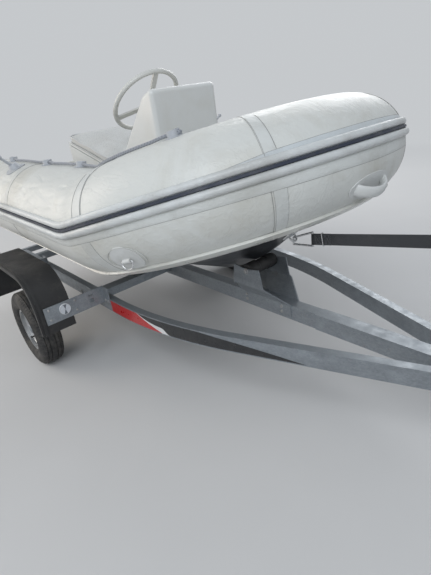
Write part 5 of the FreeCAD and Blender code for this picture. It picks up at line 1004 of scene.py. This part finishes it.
def treaded(radius, offset, column):
    """The radius at a column of the tread: notched on the shoulder, siped along the middle ribs."""
    if radius > BLOCK_RADIUS and abs(offset) > BLOCK_OFFSET:
        return radius - BLOCK_DEPTH if column % 6 in (2, 3) else radius
    siped = SIPED_FROM < abs(offset) < SIPED_TO and (column + (3 if offset > 0 else 0)) % 12 in (5, 6)
    return radius - SIPE_DEPTH if siped else radius


for label, side in SIDES:
    name, body = "tyre_" + label, "road_wheel_" + label
    out = Vector((0, side, 0))
    hub = Vector((AXLE, WHEEL_TRACK * side, AXLE_HEIGHT))
    half = tyre_half()
    rows = []
    for radius, offset in half + [(radius, -offset) for radius, offset in reversed(half[:-1])]:
        rows.append([hub + Vector((along, 0, over)) * treaded(radius, offset, column) + Y * offset
                     for column, (along, over) in enumerate(circle(TYRE_COLUMNS))])
    tyre = Build().grid(rows, closed_rows=True, closed_columns=True).piece(
        name + "_tread", "tyre_black", body, sharp=30)
    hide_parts(name)
    bolts = Build()
    for along, over in circle(5, math.pi / 2):
        place = hub + Vector((along, 0, over)) * BOLT_CIRCLE + out * 0.0058
        bolts.bolt(place, out, 0.0082, washer=False, thread=0.004)
        bolts.turned(place, out, ((0.0118, -0.001), (0.0118, 0.0006), (0.0096, 0.0030)))
    bolts.piece("wheel_bolts_" + label, "zinc_plated", body)
    cap = Build().turned(hub + out * 0.0392, out, (
        (0.0318, -0.0002), (0.0322, 0.0012), (0.0314, 0.0024), (0.0285, 0.0028), (0.0280, 0.0044),
        (0.0262, 0.0070), (0.0220, 0.0092), (0.0150, 0.0106), (0.0070, 0.0112), (0.0010, 0.0113)), 48)
    cap.piece("hub_cap_" + label, "galvanised", body)
    radial = Vector((math.cos(VALVE_BEARING), 0, math.sin(VALVE_BEARING)))
    valve = Build().turned(hub + radial * 0.1105 + out * 0.0215, out - radial * 0.28, (
        (0.0080, -0.0020), (0.0078, 0.0010), (0.0056, 0.0030), (0.0052, 0.0140), (0.0044, 0.0160),
        (0.0052, 0.0166), (0.0053, 0.0260), (0.0042, 0.0272)), 20)
    valve.piece("valve_" + label, "roller_black", body)


# ---- trailer: stripes on the starboard rail, bolts, lenses, caps and grips

RAIL_FACE = 0.560
RAIL_BEND_START = AXLE + 0.557
RAIL_BEND_RADIUS = 2.240
RAIL_ANGLE = math.radians(20.5)
RAIL_LOW, RAIL_TOP = 0.370, 0.450
STRIPE_LOW, STRIPE_TOP = 0.07, 0.93
SWOOSH_START, SWOOSH_END, SWOOSH_TIP = 0.215, 0.400, 0.450
BLACK_TAPER = 0.62


def rail_face(run, share, lift):
    """A point on the starboard rail's outer face: how far forward of its bend, and its share of the height."""
    turn = min(max(run, 0.0) / RAIL_BEND_RADIUS, RAIL_ANGLE)
    beyond = run - turn * RAIL_BEND_RADIUS
    x = RAIL_BEND_START + RAIL_BEND_RADIUS * math.sin(turn) + beyond * math.cos(turn) + lift * math.sin(turn)
    y = RAIL_FACE - RAIL_BEND_RADIUS * (1 - math.cos(turn)) - beyond * math.sin(turn) + lift * math.cos(turn)
    return Vector((x, -y, RAIL_LOW + (RAIL_TOP - RAIL_LOW) * share))


def held(share):
    return max(STRIPE_LOW, min(STRIPE_TOP, share))


def swoosh(run):
    """Lower and upper share of the white line between red and black, which falls from the top and widens."""
    share = min(max((run - SWOOSH_START) / (SWOOSH_END - SWOOSH_START), 0.0), 1.0)
    low = 0.93 - 0.86 * share ** 0.85
    fade = 1 - smooth_share((run - SWOOSH_END) / (SWOOSH_TIP - SWOOSH_END))
    return held(low), held(low + (0.05 + 0.34 * share ** 1.8) * fade)


def black_top(run):
    return max(0.075, 0.93 - 0.855 * max(0.0, (run - BLACK_TAPER) / 0.54) ** 1.25)


for colour, start, end, edges, lift in (
        ("red", -0.055, SWOOSH_END, lambda run: (STRIPE_LOW, swoosh(run)[0]), 0.0005),
        ("white", SWOOSH_START - 0.015, SWOOSH_TIP, swoosh, 0.0006),
        ("black", SWOOSH_START - 0.010, 1.160, lambda run: (swoosh(run)[1], black_top(run)), 0.0004)):
    steps = max(8, int((end - start) / 0.012))
    rows = []
    for run in (start + (end - start) * step / steps for step in range(steps + 1)):
        low, high = edges(run)
        rows.append([rail_face(run, low + (high - low) * part / 4, lift) for part in range(5)])
    Build().grid(rows).piece("stripe_" + colour, "decal_" + colour)

fasteners = Build()


def bolt_rows(xs, ys, zs, axis, size=0.0065, **kind):
    """A bolt at each meeting of the given places, on both sides of the trailer."""
    for side, x, y, z in product((-1, 1), xs, ys, zs):
        fasteners.bolt((x, side * y, z), (axis[0], side * axis[1], axis[2]), size, **kind)


bolt_rows((-0.480, -0.452, -1.610, -1.582), (RAIL_FACE,), (0.395, 0.428), Y)
bolt_rows((AXLE + 0.095, AXLE + 0.155), (RAIL_FACE,), (0.392,), Y, 0.0085)
# guard brackets: feet to the rails, arms to the guards
for face, away in ((AXLE + 0.433, 1), (AXLE - 0.413, -1)):
    bolt_rows((face + away * 0.020, face + away * 0.052), (RAIL_FACE + 0.005,), (0.435,), Y)
    bolt_rows((face + away * 0.005,), (0.735, 0.885), (0.445, 0.502), X * away, 0.0050, thread=0.003)
# roller brackets to the keel beam, and the rollers' pins
for centre, fore, lift in ((0.3707, 0.160, 0.6105), (-0.756, 0.080, 0.4967), (-1.696, 0.035, 0.4967)):
    bolt_rows((centre - 0.085, centre + fore), (0.035,), (0.404, 0.432), Y)
    bolt_rows((centre,), (0.1058,), (lift,), Y, 0.0105, washer=False)
    for side in (-1, 1):
        fasteners.turned((centre, side * 0.104, lift), (0, side, 0),
                         ((0.0150, -0.0005), (0.0150, 0.0018), (0.0144, 0.0022)), 28)
# bunk posts, the winch post's foot and frame, the bow stop, the coupling and the jockey clamp
bolt_rows((-1.608, -1.584), (0.405,), (0.470,), Y, 0.0050)
bolt_rows((1.576, 1.692), (0.022,), (0.458,), Z, thread=0.004)
bolt_rows((1.602,), (0.018,), (0.852, 0.932), -X, washer=False)
bolt_rows((1.420,), (0.020,), (1.020,), Y)
bolt_rows((2.195, 2.232), (0.039,), (0.410,), Y, 0.0085)
for ahead, height in product((-0.042, 0.042), (0.390, 0.430)):
    fasteners.bolt((AXLE + 2.720 + ahead, -0.043, height), -Y)
fasteners.piece("frame_bolts", "zinc_plated")

REFLECTOR_RADIUS = 0.0276
REFLECTOR_PLACE = (AXLE + 0.450, 0.800, 0.480)
# the lens fields coloured as a darkened copy of the clear lens: painted shade
SHADED_FIELDS = (1, 4)
lenses, shaded_lenses, bezels = Build(), Build(), Build()
for side in (-1, 1):
    centre = Vector(REFLECTOR_PLACE) * Vector((1, side, 1))
    bezels.turned(centre, X, ((0.0306, -0.0115), (0.0310, -0.0006), (0.0304, 0.0010), (0.0282, 0.0010),
                              (0.0278, 0.0004)), 56)
    # broad and narrow fields of a moulded lens, each leaning its own way; the narrow fields above and below the
    # middle take a darkened copy of the clear lens, as painted shade
    fields = (14, 64), (66, 104), (106, 194), (196, 244), (246, 284), (286, 372)
    for field, (first, last) in enumerate(fields):
        rows = []
        for radius in (0.0012 + (REFLECTOR_RADIUS - 0.0012) * ring / 7 for ring in range(8)):
            row = []
            for step in range(11):
                bearing = math.radians(first + (last - first) * step / 10)
                lean = math.cos(2 * bearing - math.radians(first + last)) * radius / REFLECTOR_RADIUS
                dome = 1 - (radius / 0.028) ** 2
                row.append(centre + Vector((0.0012 + 0.0007 * (lean + dome) + 0.00035 * (step % 2),
                                            radius * math.cos(bearing), radius * math.sin(bearing))))
            rows.append(row)
        (shaded_lenses if field in SHADED_FIELDS else lenses).grid(rows)
# painted shade: the same clear lens, darkened, on the narrow fields
shaded_lenses.piece("reflector_shaded_fields", "lens_dim", sharp=12)
lenses.piece("reflector_lenses", "lens_clear", sharp=12)
bezels.piece("reflector_bezels", "reflector_white")

CRANK_TIP = (1.500, -0.072, 0.752)
JOCKEY_TIP = (AXLE + 2.615, -0.125, 0.830)
profile = [(0.0100, -0.0912), (0.0150, -0.0905), (0.0164, -0.0880)]
for height in (-0.0840 + step * 0.0070 for step in range(12)):
    profile += [(radius, height + ahead) for radius, ahead in (
        (0.0164, 0), (0.0156, 0.0014), (0.0156, 0.0028), (0.0164, 0.0042))]
profile += [(0.0160, -0.0010), (0.0144, -0.0002)]
Build().turned(CRANK_TIP, Y, profile, 32).piece("crank_grip", "grip_black", "winch")

Build().turned(JOCKEY_TIP, Z, (
    (0.0110, 0.0000), (0.0142, 0.0010), (0.0150, 0.0060), (0.0142, 0.0260), (0.0142, 0.0420), (0.0152, 0.0580),
    (0.0140, 0.0680), (0.0100, 0.0715), (0.0010, 0.0722)), 40).piece("jockey_knob", "grip_black")

bevelled_box((1.6030, -0.0312, 1.0540), (1.6650, 0.0312, 1.0640), 0.0022).piece("winch_post_cap", "grip_black")

LAMP_REAR = -2.034
LAMP_RIB = 0.0035
LAMP_INNER, LAMP_OUTER = 0.690, 0.900
LAMP_LOW, LAMP_TOP = 0.360, 0.460
housings = Build()
glass = {"red": Build(), "amber": Build(), "clear": Build()}


def facet(build, side, a, b, low, high):
    """A ribbed lens segment on a lamp's rear face."""
    rows = []
    count = max(6, int((b - a) / LAMP_RIB))
    for step in range(count + 1):
        rib = 0.0 if step in (0, count) else 0.0032 + 0.0006 * (step % 2)
        rows.append([Vector((LAMP_REAR - lift, side * (a + (b - a) * step / count), z)) for z, lift in (
            (low, -0.001), (low + 0.0015, rib), ((low + high) / 2, rib), (high - 0.0015, rib), (high, -0.001))])
    build.grid(rows)


for side in (-1, 1):
    for colour, a, b, low, high in (
            ("amber", LAMP_OUTER - 0.062, LAMP_OUTER - 0.004, LAMP_LOW + 0.004, LAMP_TOP - 0.004),
            ("red", LAMP_INNER + 0.062, LAMP_OUTER - 0.065, LAMP_LOW + 0.004, LAMP_TOP - 0.004),
            ("red", LAMP_INNER + 0.004, LAMP_INNER + 0.059, LAMP_LOW + 0.052, LAMP_TOP - 0.004),
            ("clear", LAMP_INNER + 0.004, LAMP_INNER + 0.059, LAMP_LOW + 0.004, LAMP_LOW + 0.049)):
        facet(glass[colour], side, a, b, low, high)
    near, far = sorted((side * (LAMP_INNER - 0.002), side * (LAMP_OUTER + 0.002)))
    box = bevelled_box((-2.0120, near, LAMP_LOW - 0.002), (-1.9850, far, LAMP_TOP + 0.002), 0.0030)
    housings.add(box.points, box.faces)
housings.piece("lamp_housings", "grip_black")
for colour, material in (("red", "lamp_red"), ("amber", "lamp_amber"), ("clear", "lens_clear")):
    glass[colour].piece("lamp_lenses_" + colour, material, sharp=15)


# ---- strap: stitching at its sewn loop, and the steel bar it ends on

STRAP_END = Vector((0.7083, 0, 0.8068))
STRAP_RISE = math.radians(8.76)
STRAP_AHEAD = Vector((math.cos(STRAP_RISE), 0, math.sin(STRAP_RISE)))
STRAP_UP = Vector((-math.sin(STRAP_RISE), 0, math.cos(STRAP_RISE)))
STITCH_EDGE = 0.0195
STITCH_FACE = 0.0037
STITCH_PITCH = 0.0042
BUCKLE_PLACE = 0.054


def strap_point(ahead, up, port):
    return STRAP_END + STRAP_AHEAD * ahead + STRAP_UP * up + Y * port


def stitched(build, ahead, up, next_ahead, next_up):
    """Short thread loops in a row, on both faces of the strap."""
    for face in (-STITCH_FACE, STITCH_FACE):
        first, last = strap_point(ahead, up, face), strap_point(next_ahead, next_up, face)
        count = max(1, int((last - first).length / STITCH_PITCH))
        for index in range(count):
            build.rod([first.lerp(last, (index + share) / count) for share in (0.12, 0.88)], 0.0004, 6)


threads = Build()
for edge in (-STITCH_EDGE, STITCH_EDGE):
    stitched(threads, 0.016, edge, 0.090, edge)
    for start, end in ((0.016, 0.040), (0.068, 0.090)):
        stitched(threads, start, edge, end, -edge)
for ahead in (0.016, 0.040, 0.068, 0.090):
    stitched(threads, ahead, -STITCH_EDGE, ahead, STITCH_EDGE)
threads.piece("strap_stitches", "thread_grey")

bar = [strap_point(BUCKLE_PLACE, up, port) for up, port in (
    (-0.0275, -0.0035), (-0.0275, 0.0035), (-0.0262, 0.0060), (0.0262, 0.0060), (0.0275, 0.0035),
    (0.0275, -0.0035), (0.0262, -0.0060), (-0.0262, -0.0060))]
path = [a.lerp(b, step / 5) for a, b in zip(bar, bar[1:] + bar[:1]) for step in range(5)]
Build().rod(path, 0.0024, 12, closed=True).piece("strap_buckle", "stainless")


# ---- camera, at the photograph's place

CAMERA_PLACE = Vector((1.814, -1.44, 1.46))
CAMERA_AZIMUTH = math.radians(52)
CAMERA_PITCH = math.radians(25)
CAMERA_ROLL = math.radians(8)
FOCAL_PIXELS = 425
PHOTO_SIZE = (431, 575)

camera_data = bpy.data.cameras.new("camera")
camera_data.sensor_width = 36
camera_data.lens = camera_data.sensor_width * FOCAL_PIXELS / max(PHOTO_SIZE)
camera = placed("camera", camera_data)
turned = Matrix.Rotation(CAMERA_AZIMUTH, 4, "Z") @ Matrix.Rotation(math.pi / 2 - CAMERA_PITCH, 4, "X")
camera.matrix_world = Matrix.Translation(CAMERA_PLACE) @ turned @ Matrix.Rotation(-CAMERA_ROLL, 4, "Z")
bpy.context.scene.camera = camera


# ---- floor, world and lights

BACKDROP = (0.56, 0.58, 0.60, 1)
FLOOR_REACH = 30


def plain_ray(tree):
    """1 for the rays that see the plain backdrop: the camera's, reflected and transmitted ones."""
    paths = tree.nodes.new("ShaderNodeLightPath")
    seen = paths.outputs["Is Camera Ray"]
    for ray in ("Is Glossy Ray", "Is Transmission Ray"):
        either = tree.nodes.new("ShaderNodeMath")
        either.operation = "MAXIMUM"
        tree.links.new(seen, either.inputs[0])
        tree.links.new(paths.outputs[ray], either.inputs[1])
        seen = either.outputs[0]
    return seen


def backed(tree, kind, share, front, output):
    """Mix a shader with the plain backdrop by a share, into the tree's output."""
    plain = tree.nodes.new(kind)
    plain.inputs["Color"].default_value = BACKDROP
    mixer = tree.nodes.new("ShaderNodeMixShader")
    for source, socket in ((share, 0), (front, 1), (plain.outputs[0], 2)):
        tree.links.new(source, mixer.inputs[socket])
    tree.links.new(mixer.outputs[0], tree.nodes[output].inputs["Surface"])


floor_mesh = bpy.data.meshes.new("floor")
floor_mesh.from_pydata([(FLOOR_REACH * x, FLOOR_REACH * y, 0) for x, y in ((-1, -1), (1, -1), (1, 1), (-1, 1))],
                       [], [(0, 1, 2, 3)])
pale = Shader("floor_pale", (0.60, 0.60, 0.59), 0.8)
pale.colour(pale.ramp(pale.noise(0.8, 3.0), (0.3, 0.585), (0.7, 0.615)))
# far from the boat the floor runs out into the backdrop
distance = pale.node("ShaderNodeVectorMath", {0: pale.place}, operation="LENGTH").outputs["Value"]
far = pale.mask(pale.math("DIVIDE", distance, 12.0), 0.20, 0.62)
backed(pale.tree, "ShaderNodeEmission", pale.times(far, plain_ray(pale.tree)), pale.bsdf.outputs[0],
       "Material Output")
floor_mesh.materials.append(pale.material)
floor = placed("floor", floor_mesh)

world = bpy.data.worlds.new("studio")
world.use_nodes = True
bpy.context.scene.world = world
sky = world.node_tree.nodes["Background"]
sky.inputs["Color"].default_value = (0.86, 0.92, 1.0, 1)
sky.inputs["Strength"].default_value = 0.42
backed(world.node_tree, "ShaderNodeBackground", plain_ray(world.node_tree), sky.outputs[0], "World Output")

# soft square lights: place, the point they look at, power and colour
for name, place, target, power, colour in (
        ("key", (3.5, -4.0, 5.0), (-0.4, 0, 0.7), 232, (0.92, 0.96, 1.0)),
        ("fill", (-5.0, -4.0, 3.0), (-0.6, 0, 0.6), 150, (1.0, 0.90, 0.78)),
        ("rim", (-2.5, 5.0, 4.0), (-0.4, 0, 0.8), 150, (1, 1, 1))):
    data = bpy.data.lights.new(name, "AREA")
    data.size, data.energy, data.color = 4.0, power, colour
    lamp = placed(name, data)
    lamp.location = place
    lamp.rotation_euler = (Vector(target) - Vector(place)).to_track_quat("-Z", "Y").to_euler()

bpy.context.scene.view_settings.view_transform = "Standard"

bpy.context.view_layer.update()
